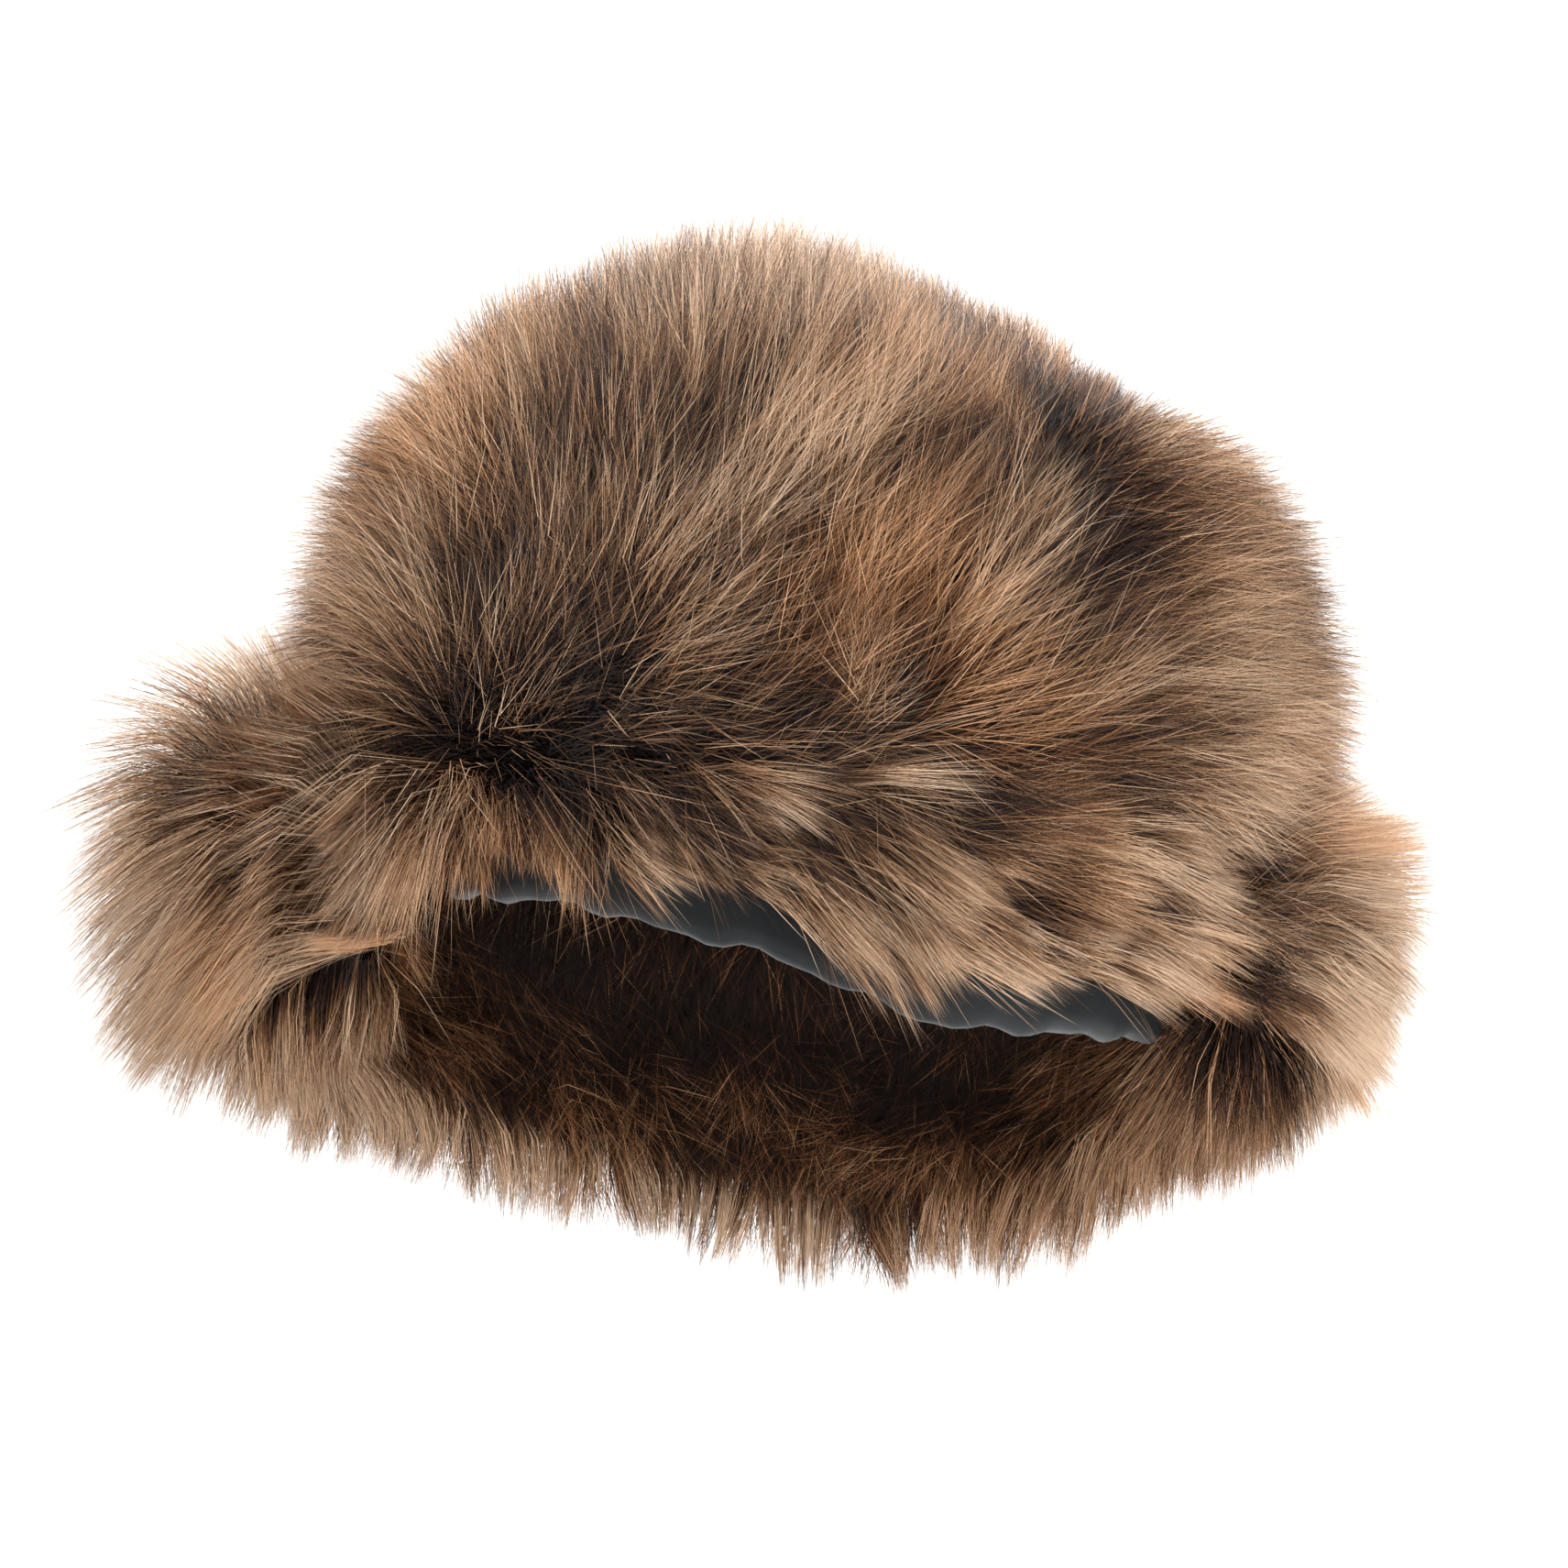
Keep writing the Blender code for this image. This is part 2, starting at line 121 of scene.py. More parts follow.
# Pile
HAIR_WIDTH = 0.00020
HAIR_STEPS = 2  # straight stretches in one hair
HAIR_STRETCHES = (0.42, 0.58)  # share of its length in each of them
HAIR_TAPER = (1.0, 0.85)  # share of its width at the start of each
ROOT_DEPTH = 0.0005
CROWN_PILE = 0.043
BROW_PILE = 0.030
FLAP_PILE = 0.034
EDGE_PILE = 0.027
FRONT_EDGE_PILE = 0.0216
INNER_PILE = 0.022
TUFT_SPACING = 0.0028  # between the middles of the fine tufts that hairs gather into
LOCK_SPACING = 0.0090  # and of the broad ones
TUFT_PULL = 0.60
LOCK_PULL = 0.36
STRAYS = 0.09  # share of hairs that join no tuft
MESSY_STRAYS = 0.85  # and how much more of them where the fur is messiest
TRIM = 0.0083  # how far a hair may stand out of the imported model's box
SKIN_CELLS = 40  # a side, in each panel's skin
SKIN_STRIP = 0.06  # share of the texture layout's width that the skins take
HAIR_STRIP_START = 0.07  # where the hairs' part of it starts

# Counts of hairs, and how far they lean over at root and tip, in degrees from upright
STRIP_HAIRS = 62000
SIDE_HAIRS = 38000
BROW_HAIRS = 20000
FLAP_HAIRS = 36000
LOW_EDGE_HAIRS = 9000
FRONT_EDGE_HAIRS = 3500
INNER_HAIRS = 26000
STRIP_LEAN = (28, 66)
SIDE_LEAN = (22, 58)
BROW_LEAN = (32, 64)
FLAP_LEAN = (22, 58)
LOW_EDGE_LEAN = (10, 25)
FRONT_EDGE_LEAN = (20, 50)
INNER_LEAN = (40, 74)

# Seeds of the random draws. A flap's coats have its own seed and these added to it.
STRIP_SEED = 3
LEFT_SIDE_SEED = 5
RIGHT_SIDE_SEED = 7
BROW_SEED = 9
LOW_EDGE_SEED = 20
FRONT_EDGE_SEED = 30
INNER_SEED = 40

# Shortest and longest hairs as shares of the pile
CROWN_LENGTHS = (0.78, 1.10)
BAND_LENGTHS = (0.75, 1.12)
EDGE_LENGTHS = (0.70, 1.15)

# How hairs differ from lock to lock, tuft to tuft and hair to hair, and how much more in messy fur
LENGTH_VARIES = {"lock": 0.13, "tuft": 0.08}
TURN_VARIES = {"lock": 0.18, "tuft": 0.14, "hair": 0.10, "mess": 0.55}  # radians
TILT_VARIES = {"lock": 6, "hair": 7, "mess": 9}  # degrees
MESSY_LIFT = 4  # degrees that messy fur stands up more
STRAY_TILT = (-16, 12)  # degrees that a hair in no tuft stands up or lies down more
WIDTH_VARIES = (0.7, 1.3)
COMB_WAVES = [(26, 0.45), (85, 0.25)]  # waves to the metre and how far they turn the pile

# Painted shade where the panels meet, in front
VALLEY_WAVES = 62  # to the metre, along the seam of crown and brow
VALLEY_HEIGHT = 0.008  # how far up the crown they reach
SEAM_WAVES = 55
SEAM_SHADE_WIDTH = 0.006
SEAM_SHADE_TOP = 0.080  # height at which it ends
# Painted shade: the crown's front is made darker than its back
FRONT_PAINTED_SHADE = 0.58  # how much darker the crown's front is than its back
# Painted shade over the whole brow band
BROW_PAINTED_SHADE = 0.08

# Insides of the flaps: how rusty they are, and how far they are combed back near the front
INNER_WARM = 0.8
NO_SWEEP = (0.0, 1.0)

# How steeply the crown's pile rises in front, by the height of its roots
RISE = {
    "height": [0.000, 0.030, 0.050, 0.065, 0.080],
    "rise": [0.15, 0.35, 0.60, 1.20, 3.50],
}

# Places where the pile parts and its dark roots show: where on the crown, how far the parting reaches
# along the skin, how strongly it turns the pile and how much it darkens it
PARTINGS = [
    {"at": (-0.056, -0.084, 0.002), "reach": 0.012, "turn": 1.0, "dark": 0.95},
    {"at": (0.062, -0.076, 0.068), "reach": 0.020, "turn": 2.2, "dark": 1.7},
    {"at": (-0.058, -0.078, 0.050), "reach": 0.009, "turn": 0.3, "dark": 0.6},
    {"at": (-0.066, -0.040, 0.078), "reach": 0.012, "turn": 1.6, "dark": 0.3},
    {"at": (0.030, -0.100, 0.008), "reach": 0.010, "turn": 1.5, "dark": 0.2},
    {"at": (0.060, -0.080, 0.048), "reach": 0.012, "turn": 1.4, "dark": 1.2},
    {"at": (0.052, -0.088, 0.032), "reach": 0.008, "turn": 1.0, "dark": 0.7},
    {"at": (-0.034, -0.090, 0.080), "reach": 0.008, "turn": 0.3, "dark": 0.8},
    {"at": (-0.030, -0.098, 0.045), "reach": 0.006, "turn": 0.3, "dark": 0.6},
]
WHORL = np.array(PARTINGS[0]["at"])  # the crown's pile is combed away from the first of them
DARK_REACH = 0.7  # share of a parting's reach that it darkens

# The same on the right flap, in shares of the way down and back
FLAP_PARTINGS = [
    {"down": 0.42, "along": 0.15, "reach": 0.023, "turn": 3.0, "dark": 2.6},
    {"down": 0.70, "along": 0.05, "reach": 0.010, "turn": 0.8, "dark": 1.2},
]

# Fur of each flap. Sweep is how far it is combed back near the flap's front and over what share of the flap,
# stand how much more upright it is there, light how much paler painted light makes it away from the crown,
# shade how much painted shade darkens its inside in front and behind, and hang the way its front edge's fur
# hangs. The edges' painted shade is given at their start and further on, painted light where it is negative,
# and warm is how rusty they are.
FLAP_FUR = {
    "left": {
        "side": 1,
        "shape": LEFT_FLAP_SHAPE,
        "seed": 11,
        "pile": 1.12 * FLAP_PILE,
        "low_pile": 1.25 * EDGE_PILE,
        "sweep": (1.8, 0.45),
        "stand": 0,
        "partings": [],
        "light": 0.6,
        "shade": (2.6, 2.8),
        "hang": (1.0, -0.3, -0.3),
        "front_dark": (1.2, 1.3),
        "front_warm": 0.0,
        "low_dark": (1.3, 0.1),
        "low_warm": 0.5,
    },
    "right": {
        "side": -1,
        "shape": RIGHT_FLAP_SHAPE,
        "seed": 13,
        "pile": FLAP_PILE,
        "low_pile": EDGE_PILE,
        "sweep": (-0.3, 0.35),
        "stand": 22,
        "partings": FLAP_PARTINGS,
        "light": 1.5,
        "shade": (0.5, 2.8),
        "hang": (-1.0, 0.0, -0.3),
        "front_dark": (0.6, -0.7),
        "front_warm": 0.6,
        "low_dark": (-0.1, -0.5),
        "low_warm": 0.2,
    },
}

# Photo's frame: how the hat sits in it
FRAME_WIDTH = 0.345  # metres across the picture at the hat
CAMERA_DISTANCE = 0.95
CAMERA_AZIMUTH = 8.0
CAMERA_ELEVATION = -6.5
CAMERA_ROLL = 4.0
FRAME_CENTRE = (-0.006, 0.0, 0.008)

# Floor that curves up into a wall
FLOOR_Z = -0.26
FLOOR_FRONT_Y = -4.0
FLOOR_HALF_WIDTH = 4.0
WALL_Y = 2.2
WALL_HEIGHT = 3.5
BEND_RADIUS = 0.8
BEND_STEPS = 16

# Lamps: where each stands and what it faces, its width in metres and its power in watts
LAMPS = {
    "key": {"place": (-0.9, -0.9, 1.3), "aim": (0, 0, 0.03), "size": 0.9, "power": 17},
    "fill": {"place": (1.3, -1.0, 0.3), "aim": (0, 0, 0), "size": 1.2, "power": 9},
    "rim": {"place": (0.2, 0.9, 1.2), "aim": (0, 0, 0.05), "size": 0.8, "power": 20},
    "wall": {"place": (0, 0.9, 1.9), "aim": (0, 2.2, 0.3), "size": 1.6, "power": 45},
}
WORLD_LIGHT = 0.75

# Colours, linear
ROOT_DARK = (0.026, 0.018, 0.017)
ROOT_BROWN = (0.062, 0.034, 0.024)
MID_BROWN = (0.190, 0.092, 0.044)
TAN = (0.430, 0.250, 0.135)
TIP_LIGHT = (0.690, 0.490, 0.335)
RUST_TINT = (1.0, 0.74, 0.52)
ASH_TINT = (0.95, 0.93, 0.94)
SATIN = (0.0095, 0.0110, 0.0118)
SUEDE = (0.040, 0.028, 0.024)
BACKDROP = (0.93, 0.93, 0.93)

# Where the fur's colours come in from root to tip
FUR_STOPS = [(0.12, ROOT_DARK), (0.32, ROOT_BROWN), (0.54, MID_BROWN), (0.78, TAN), (1.00, TIP_LIGHT)]


def dome(wall):
    """Half axes of the head's dome grown by a wall."""
    return (HEAD_WIDTH / 2 + wall, HEAD_LENGTH / 2 + wall, CROWN_DEPTH + wall)


LINING_INNER = dome(0)
LINING_OUTER = dome(LINING_WALL)
CROWN_OUTER = dome(LINING_WALL + WADDING_ROOM + CROWN_WALL)
FLAP_MIDDLE = dome(LINING_WALL + WADDING_ROOM + GROUND + FACING_GAP + FLAP_WALL / 2)


def unit(vectors):
    return vectors / np.maximum(np.linalg.norm(vectors, axis=-1, keepdims=True), 1e-9)


def on_dome(points, axes):
    """The points moved straight out from the origin onto the crown surface with these half axes."""
    points = np.asarray(points, float)
    x, y, z = (np.abs(points[..., k] / axes[k]) for k in range(3))
    plan = x ** PLAN_SQUARENESS + y ** PLAN_SQUARENESS
    size = plan ** (SIDE_SQUARENESS / PLAN_SQUARENESS) + z ** SIDE_SQUARENESS
    return points / size[..., None] ** (1 / SIDE_SQUARENESS)


def on_rim(angle, axes, z=0.0):
    """Points of the plan's outline at these angles from the front, in degrees, at height z."""
    turn = np.radians(np.asarray(angle, float))
    flat = np.stack([axes[0] * np.sin(turn), -axes[1] * np.cos(turn), 0 * turn], axis=-1)
    points = on_dome(flat, axes)
    points[..., 2] = z
    return points


def upright_section(turn):
    """The crown's unit section: how far out and how high it is, turn degrees up from the rim."""
    out, high = np.cos(np.radians(turn)), np.sin(np.radians(turn))
    size = (np.abs(out) ** SIDE_SQUARENESS + np.abs(high) ** SIDE_SQUARENESS) ** (1 / SIDE_SQUARENESS)
    return out / size, high / size


def read_shape(table, along, column):
    """A column of a shape table at places between its rows, eased at each row."""
    stops = np.array(table["along"])
    values = np.array(table[column])
    low = np.clip(np.searchsorted(stops, along, side="right") - 1, 0, len(stops) - 2)
    share = np.clip((along - stops[low]) / (stops[low + 1] - stops[low]), 0, 1)
    eased = (share + share * share * (3 - 2 * share)) / 2
    return values[low] + (values[low + 1] - values[low]) * eased


def shares():
    """Row and column shares of a panel's grid."""
    stops = np.linspace(0, 1, SKIN_CELLS + 1)
    return np.meshgrid(stops, stops, indexing="ij")


def grid_normals(grid, outward):
    """Unit normals of a grid of points, turned to the side that the outward hint names."""
    down = np.gradient(grid, axis=0)
    across = np.gradient(grid, axis=1)
    normals = unit(np.cross(across, down))
    return normals * np.where((normals * outward).sum(-1, keepdims=True) < 0, -1, 1)


def strip_point(offset, share):
    """Points on the upright section this far to the side, from the brow over the top to the nape."""
    out, high = upright_section(180 * share)
    y = -CROWN_OUTER[1] * out
    z = CROWN_OUTER[2] * np.maximum(high, 0)
    return np.stack(np.broadcast_arrays(offset, y, z), axis=-1)


def centre_panel():
    """The crown's centre strip, from front to back."""
    row, column = shares()
    half = STRIP_WIDTH / 2 - SEAM_GAP / 2
    grid = on_dome(strip_point(half * (2 * column - 1), row), CROWN_OUTER)
    return grid, grid_normals(grid, grid)


def side_panel(side):
    """The panel beside the strip: three of its edges follow the strip's seam and the fourth the rim."""
    up, along = shares()
    half = side * (STRIP_WIDTH / 2 + SEAM_GAP / 2)

    def seam(share):
        return on_dome(strip_point(half, share), CROWN_OUTER)

    corner = seam(np.array(0.0))
    start = math.degrees(math.atan2(corner[0] / CROWN_OUTER[0], -corner[1] / CROWN_OUTER[1]))
    rim = on_rim(start + (side * 180 - 2 * start) * along, CROWN_OUTER)
    top = seam(SIDE_SHARE + (1 - 2 * SIDE_SHARE) * along)
    front, back = seam(SIDE_SHARE * up), seam(1 - SIDE_SHARE * up)
    u, v = up[..., None], along[..., None]
    ruled = rim * (1 - u) + top * u + front * (1 - v) + back * v
    corners = (rim[0, 0] * (1 - v) + rim[0, -1] * v) * (1 - u) + (top[0, 0] * (1 - v) + top[0, -1] * v) * u
    grid = on_dome(ruled - corners, CROWN_OUTER)
    return grid, grid_normals(grid, grid)


def brow_drop(along):
    """From the crown seam down to the brow band's edge, this share along it."""
    return BROW_DROP * read_shape(BROW_SHAPE, along, "drop")


def brow_panel():
    """The brow band, from the crown seam down and from right to left."""
    down, along = shares()
    z = -SEAM_GAP - (brow_drop(along) - SEAM_GAP) * down
    grid = on_rim(BROW_RIGHT_END + (BROW_LEFT_END - BROW_RIGHT_END) * along, CROWN_OUTER, z)
    return grid, grid_normals(grid, grid * (1, 1, 0))


def flap_panels(side, table):
    """A flap's outer, inner, lower edge and front edge skins, each with its normals. The first two run from
    the crown seam down and from front to back."""
    down, along = shares()
    clear = math.degrees(2 * SEAM_GAP / HEAD_WIDTH)
    start = (BROW_LEFT_END if side > 0 else BROW_RIGHT_END) + side * clear
    angle = start + (side * (180 - clear) - start) * along
    away = unit(on_rim(angle, CROWN_OUTER) - on_rim(angle, LINING_INNER))
    out = FLAP_FLARE * read_shape(table, along, "flare") * np.sin(np.radians(FLAP_CURL) * down)
    fall = down ** (1 + read_shape(table, along, "shelf"))
    bulge = FLAP_LIFT * read_shape(table, along, "lift") * np.sin(np.pi * down)
    below = NECK_DROP * read_shape(table, along, "drop") * fall - bulge
    middle = on_rim(angle, FLAP_MIDDLE) + away * out[..., None]
    middle[..., 2] -= SEAM_GAP + below
    across, fall_line = np.gradient(middle, axis=1), np.gradient(middle, axis=0)
    normals = unit(np.cross(across, fall_line)) * -side
    skin = FLAP_WALL / 2 + FACING_GAP + GROUND
    middle[..., 2] -= np.maximum(normals[0, :, 2], 0) * skin
    outer, inner = middle + normals * skin, middle - normals * skin
    share = np.linspace(0, 1, SKIN_CELLS + 1)[:, None, None]
    round_edge = np.sin(np.pi * share) * skin * 0.5
    low = outer[-1] * (1 - share) + inner[-1] * share + unit(fall_line[-1]) * round_edge
    low_normals = unit(unit(fall_line[-1]) + normals[-1] * (1 - 2 * share) * 0.8)
    front = outer[:, 0] * (1 - share) + inner[:, 0] * share - unit(across[:, 0]) * round_edge
    front_normals = unit(normals[:, 0] * (1 - 2 * share) * 0.8 - unit(across[:, 0]))
    front = (front.transpose(1, 0, 2), front_normals.transpose(1, 0, 2))
    return (outer, normals), (inner, -normals), (low, low_normals), front


def scatter(panel, count, chance):
    """Roots spread evenly over a panel, with their normals, rows, columns and the grid's fall line."""
    grid, normals = panel
    rows, columns = grid.shape[0] - 1, grid.shape[1] - 1
    across = grid[1:, 1:] - grid[:-1, :-1]
    back = grid[1:, :-1] - grid[:-1, 1:]
    area = np.linalg.norm(np.cross(across, back), axis=-1).ravel()
    reach = np.cumsum(area) / area.sum()
    draws = (np.arange(count) + chance.random(count)) / count
    cell = np.minimum(np.searchsorted(reach, draws), area.size - 1)
    i, j = cell // columns, cell % columns
    s, t = chance.random((2, count, 1))

    def blend(field):
        near = field[i, j] * (1 - t) + field[i, j + 1] * t
        far = field[i + 1, j] * (1 - t) + field[i + 1, j + 1] * t
        return near * (1 - s) + far * s

    fall = grid[i + 1, j] - grid[i, j] + grid[i + 1, j + 1] - grid[i, j + 1]
    across = grid[i, j + 1] - grid[i, j] + grid[i + 1, j + 1] - grid[i + 1, j]
    return {
        "root": blend(grid),
        "normal": unit(blend(normals)),
        "row": (i + s[:, 0]) / rows,
        "column": (j + t[:, 0]) / columns,
        "fall": unit(fall),
        "across": unit(across),
    }


def tangent(vectors, normals):
    """The part of each vector that lies in the skin."""
    return vectors - normals * (vectors * normals).sum(-1, keepdims=True)


def waves(root, scale):
    """A smooth random vector for each root, its waves about 1 / scale metres long."""
    return np.array([noise.noise_vector(place) for place in root * scale])


def comb(spread, base, partings):
    """Turns the pile's base direction away from each parting, and lets it wave. Returns the directions and
    the darkness."""
    flow = unit(tangent(base, spread["normal"]))
    for scale, amount in COMB_WAVES:
        flow = flow + amount * waves(spread["root"], scale)
    dark = np.zeros(len(flow))
    for parting in partings:
        away = spread["root"] - parting["at"]
        distance = np.linalg.norm(away, axis=-1)
        near = np.exp(-((distance / parting["reach"]) ** 2))
        flow = flow + unit(tangent(away, spread["normal"])) * (near * parting["turn"])[:, None]
        near = np.exp(-((distance / parting["reach"] / DARK_REACH) ** 2))
        dark = np.maximum(dark, parting["dark"] * near)
    return unit(flow), dark


def leaders_of(root, spacing, area, chance):
    """For each hair, the hair that leads the tuft it belongs to, with tufts about one spacing apart."""
    leaders = chance.choice(len(root), max(int(area / spacing**2), 1), replace=False)
    tree = kdtree.KDTree(len(leaders))
    for index in leaders:
        tree.insert(root[index], int(index))
    tree.balance()
    return np.array([tree.find(place)[1] for place in root])


def gather(hairs, lead, pull, free, chance):
    """Draws the tips of neighbouring hairs together towards the hair that leads their tuft."""
    strength = pull * chance.uniform(0.4, 1.4, len(hairs)) * ~free
    for step in range(1, HAIR_STEPS + 1):
        share = np.minimum(strength * (step / HAIR_STEPS) ** 1.3, 0.95)[:, None]
        hairs[:, step] += (hairs[lead, step] - hairs[:, step]) * share
    return hairs


def grow(spread, flow, length, lean, mess, area, chance):
    """Points along each hair, and a tone that it shares with its tuft. lean holds the angles from upright,
    in degrees, of its root and its tip, and mess is how far it strays from its neighbours' direction."""
    count = len(flow)
    normal, root = spread["normal"], spread["root"]
    lock = leaders_of(root, LOCK_SPACING, area, chance)
    tuft = leaders_of(root, TUFT_SPACING, area, chance)
    fate = chance.uniform(-1, 1, (3, count))
    length = length * (1 + LENGTH_VARIES["lock"] * fate[0, lock] + LENGTH_VARIES["tuft"] * fate[1, tuft])
    side = np.cross(normal, flow)
    turn = TURN_VARIES["lock"] * fate[1, lock] + TURN_VARIES["tuft"] * fate[2, tuft]
    turn += (TURN_VARIES["hair"] + TURN_VARIES["mess"] * mess) * chance.normal(0, 1, count)
    heading = unit(flow + side * turn[:, None])
    free = chance.random(count) < STRAYS + MESSY_STRAYS * mess
    own = (TILT_VARIES["hair"] + TILT_VARIES["mess"] * mess) * chance.normal(0, 1, count)
    tilt = TILT_VARIES["lock"] * fate[2, lock] + own - MESSY_LIFT * mess
    tilt += free * chance.uniform(*STRAY_TILT, count)
    hairs = np.empty((count, HAIR_STEPS + 1, 3))
    hairs[:, 0] = root - normal * ROOT_DEPTH
    for step in range(HAIR_STEPS):
        angle = np.radians(lean[step] + tilt)[:, None]
        run = normal * np.cos(angle) + heading * np.sin(angle)
        hairs[:, step + 1] = hairs[:, step] + run * (length * HAIR_STRETCHES[step])[:, None]
    hairs = gather(hairs, lock, LOCK_PULL, free, chance)
    hairs = trim(gather(hairs, tuft, TUFT_PULL, free, chance))
    return hairs, 0.5 * fate[0, lock] + 0.5 * fate[1, tuft]


def trim(hairs):
    """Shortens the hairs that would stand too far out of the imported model's box."""
    low, high = (np.array(corner) for corner in CAD_BOX)
    root = hairs[:, :1]
    run = hairs - root
    room = np.where(run > 0, high + TRIM - root, low - TRIM - root)
    return root + run / np.maximum((run / room).max(axis=(1, 2)), 1)[:, None, None]


def blades(hairs, normal, chance):
    """Vertices, triangles, normals and shares along the hair of one tapered blade for each hair."""
    count = len(hairs)
    turn = chance.uniform(-1.0, 1.0, count)[:, None]
    heading = unit(hairs[:, -1] - hairs[:, 0])
    side = unit(np.cross(heading, normal))
    facing = normal * np.cos(turn) + side * np.sin(turn)
    thick = HAIR_WIDTH * chance.uniform(*WIDTH_VARIES, (count, 1))
    points, shading, along = [], [], []
    for step in range(HAIR_STEPS + 1):
        ahead = unit(hairs[:, min(step + 1, HAIR_STEPS)] - hairs[:, max(step - 1, 0)])
        edge = unit(np.cross(ahead, facing))
        shade = unit(facing + normal + ahead * 0.3)
        offsets = (0,) if step == HAIR_STEPS else (-0.5, 0.5)
        for offset in offsets:
            wide = thick * (HAIR_TAPER[step] if step < HAIR_STEPS else 0)
            points.append(hairs[:, step] + edge * wide * offset)
            shading.append(shade)
            along.append(np.full(count, step / HAIR_STEPS))
    points, shading, along = (np.stack(part, axis=1) for part in (points, shading, along))
    corners = []
    for step in range(HAIR_STEPS - 1):
        left, right = 2 * step, 2 * step + 1
        corners += [(left, right, right + 2), (left, right + 2, left + 2)]
    corners.append((2 * HAIR_STEPS - 2, 2 * HAIR_STEPS - 1, 2 * HAIR_STEPS))
    per_hair = 2 * HAIR_STEPS + 1
    faces = np.array(corners)[None] + (np.arange(count) * per_hair)[:, None, None]
    return points, faces.reshape(-1, 3), shading, along


def skin_mesh(panel):
    """Triangles of a panel's bare skin."""
    grid, normals = panel
    rows, columns = grid.shape[0] - 1, grid.shape[1] - 1
    i, j = np.meshgrid(np.arange(rows), np.arange(columns), indexing="ij")
    a = (i * (columns + 1) + j).ravel()
    b, c, d = a + 1, a + columns + 2, a + columns + 1
    faces = np.concatenate([np.stack([a, b, c], 1), np.stack([a, c, d], 1)])
    flat = grid.reshape(-1, 3)
    first = faces[0]
    up = np.cross(flat[first[1]] - flat[first[0]], flat[first[2]] - flat[first[0]])
    if (up * normals.reshape(-1, 3)[first[0]]).sum() < 0:
        faces = faces[:, ::-1]
    return flat, faces, normals.reshape(-1, 3)


def skin_layer(coat, number, coat_total):
    """A coat's bare skin, in its own part of the skins' strip of the texture layout."""
    points, faces, normals = skin_mesh(coat["panel"])
    count = len(points)
    row, column = shares()
    u = (number + 0.1 + 0.8 * column.ravel()) / coat_total * SKIN_STRIP
    return {
        "points": points,
        "faces": faces,
        "shading": normals,
        "along": np.zeros(count),
        "luck": np.full(count, 0.5),
        "tone": np.zeros(count),
        "dark": np.ones(count),
        "warm": np.zeros(count),
        "root": points,
        "places": np.stack([u, row.ravel()], 1),
    }


def hair_layer(coat, first, columns, rows):
    """A coat's hairs, each in a cell of the texture layout, where first is its first hair's cell."""
    points, faces, shading, along = coat["blades"]
    count, each = points.shape[:2]
    index = np.arange(count) + first
    wide = np.tile([0.2, 0.8] * HAIR_STEPS + [0.5], count)
    u = HAIR_STRIP_START + (1 - HAIR_STRIP_START) * (np.repeat(index % columns, each) + wide) / columns
    v = (np.repeat(index // columns, each) + 0.1 + 0.8 * along.ravel()) / rows
    return {
        "points": points.reshape(-1, 3),
        "faces": faces,
        "shading": shading.reshape(-1, 3),
        "along": along.ravel(),
        "luck": np.repeat(coat["luck"], each),
        "tone": np.repeat(coat["tone"], each),
        "dark": np.repeat(coat["dark"], each),
        "warm": np.full(count * each, coat["warm"]),
        "root": np.repeat(coat["root"], each, axis=0),
        "places": np.stack([u, v], 1),
    }


def fur_mesh(name, fields):
    """A mesh of triangles with its shading, its texture layout and what the fur's material reads."""
    faces = fields["faces"].ravel()
    mesh = bpy.data.meshes.new(name)
    mesh.vertices.add(len(fields["points"]))
    mesh.vertices.foreach_set("co", fields["points"].ravel().astype(np.float32))
    mesh.loops.add(faces.size)
    mesh.loops.foreach_set("vertex_index", faces.astype(np.int32))
    mesh.polygons.add(faces.size // 3)
    mesh.polygons.foreach_set("loop_start", np.arange(0, faces.size, 3, dtype=np.int32))
    mesh.update(calc_edges=True)
    mesh.shade_smooth()
    for label in ("along", "luck", "tone", "dark", "warm"):
        attribute = mesh.attributes.new(label, "FLOAT", "POINT")
        attribute.data.foreach_set("value", fields[label].astype(np.float32))
    attribute = mesh.attributes.new("root", "FLOAT_VECTOR", "POINT")
    attribute.data.foreach_set("vector", fields["root"].ravel().astype(np.float32))
    layout = mesh.uv_layers.new(name="OFBake")
    layout.data.foreach_set("uv", fields["places"][faces].ravel().astype(np.float32))
    mesh.normals_split_custom_set_from_vertices(fields["shading"].astype(np.float32).tolist())
    return mesh


def fur_piece(name, node, coats, material):
    """One object of skins and hairs, from its coats, which takes the place of a node of the model."""
    hair_total = sum(len(coat["hairs"]) for coat in coats)
    columns = math.ceil(math.sqrt(hair_total * 4))
    rows = math.ceil(hair_total / columns)
    layers = []
    first = 0
    for number, coat in enumerate(coats):
        layers.append(skin_layer(coat, number, len(coats)))
        layers.append(hair_layer(coat, first, columns, rows))
        first += len(coat["hairs"])
    base = 0
    for layer in layers:
        layer["faces"] = layer["faces"] + base
        base += len(layer["points"])
    fields = {label: np.concatenate([layer[label] for layer in layers]) for label in layers[0]}
    mesh = fur_mesh(name, fields)
    mesh.materials.append(material)
    piece = bpy.data.objects.new(name, mesh)
    bpy.context.scene.collection.objects.link(piece)
    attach(piece, "root")
    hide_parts(node)


def panel_area(panel):
    """A panel's area, as half of the cross products of its cells' diagonals."""
    grid = panel[0]
    across = grid[1:, 1:] - grid[:-1, :-1]
    back = grid[1:, :-1] - grid[:-1, 1:]
    return float(np.linalg.norm(np.cross(across, back), axis=-1).sum() / 2)


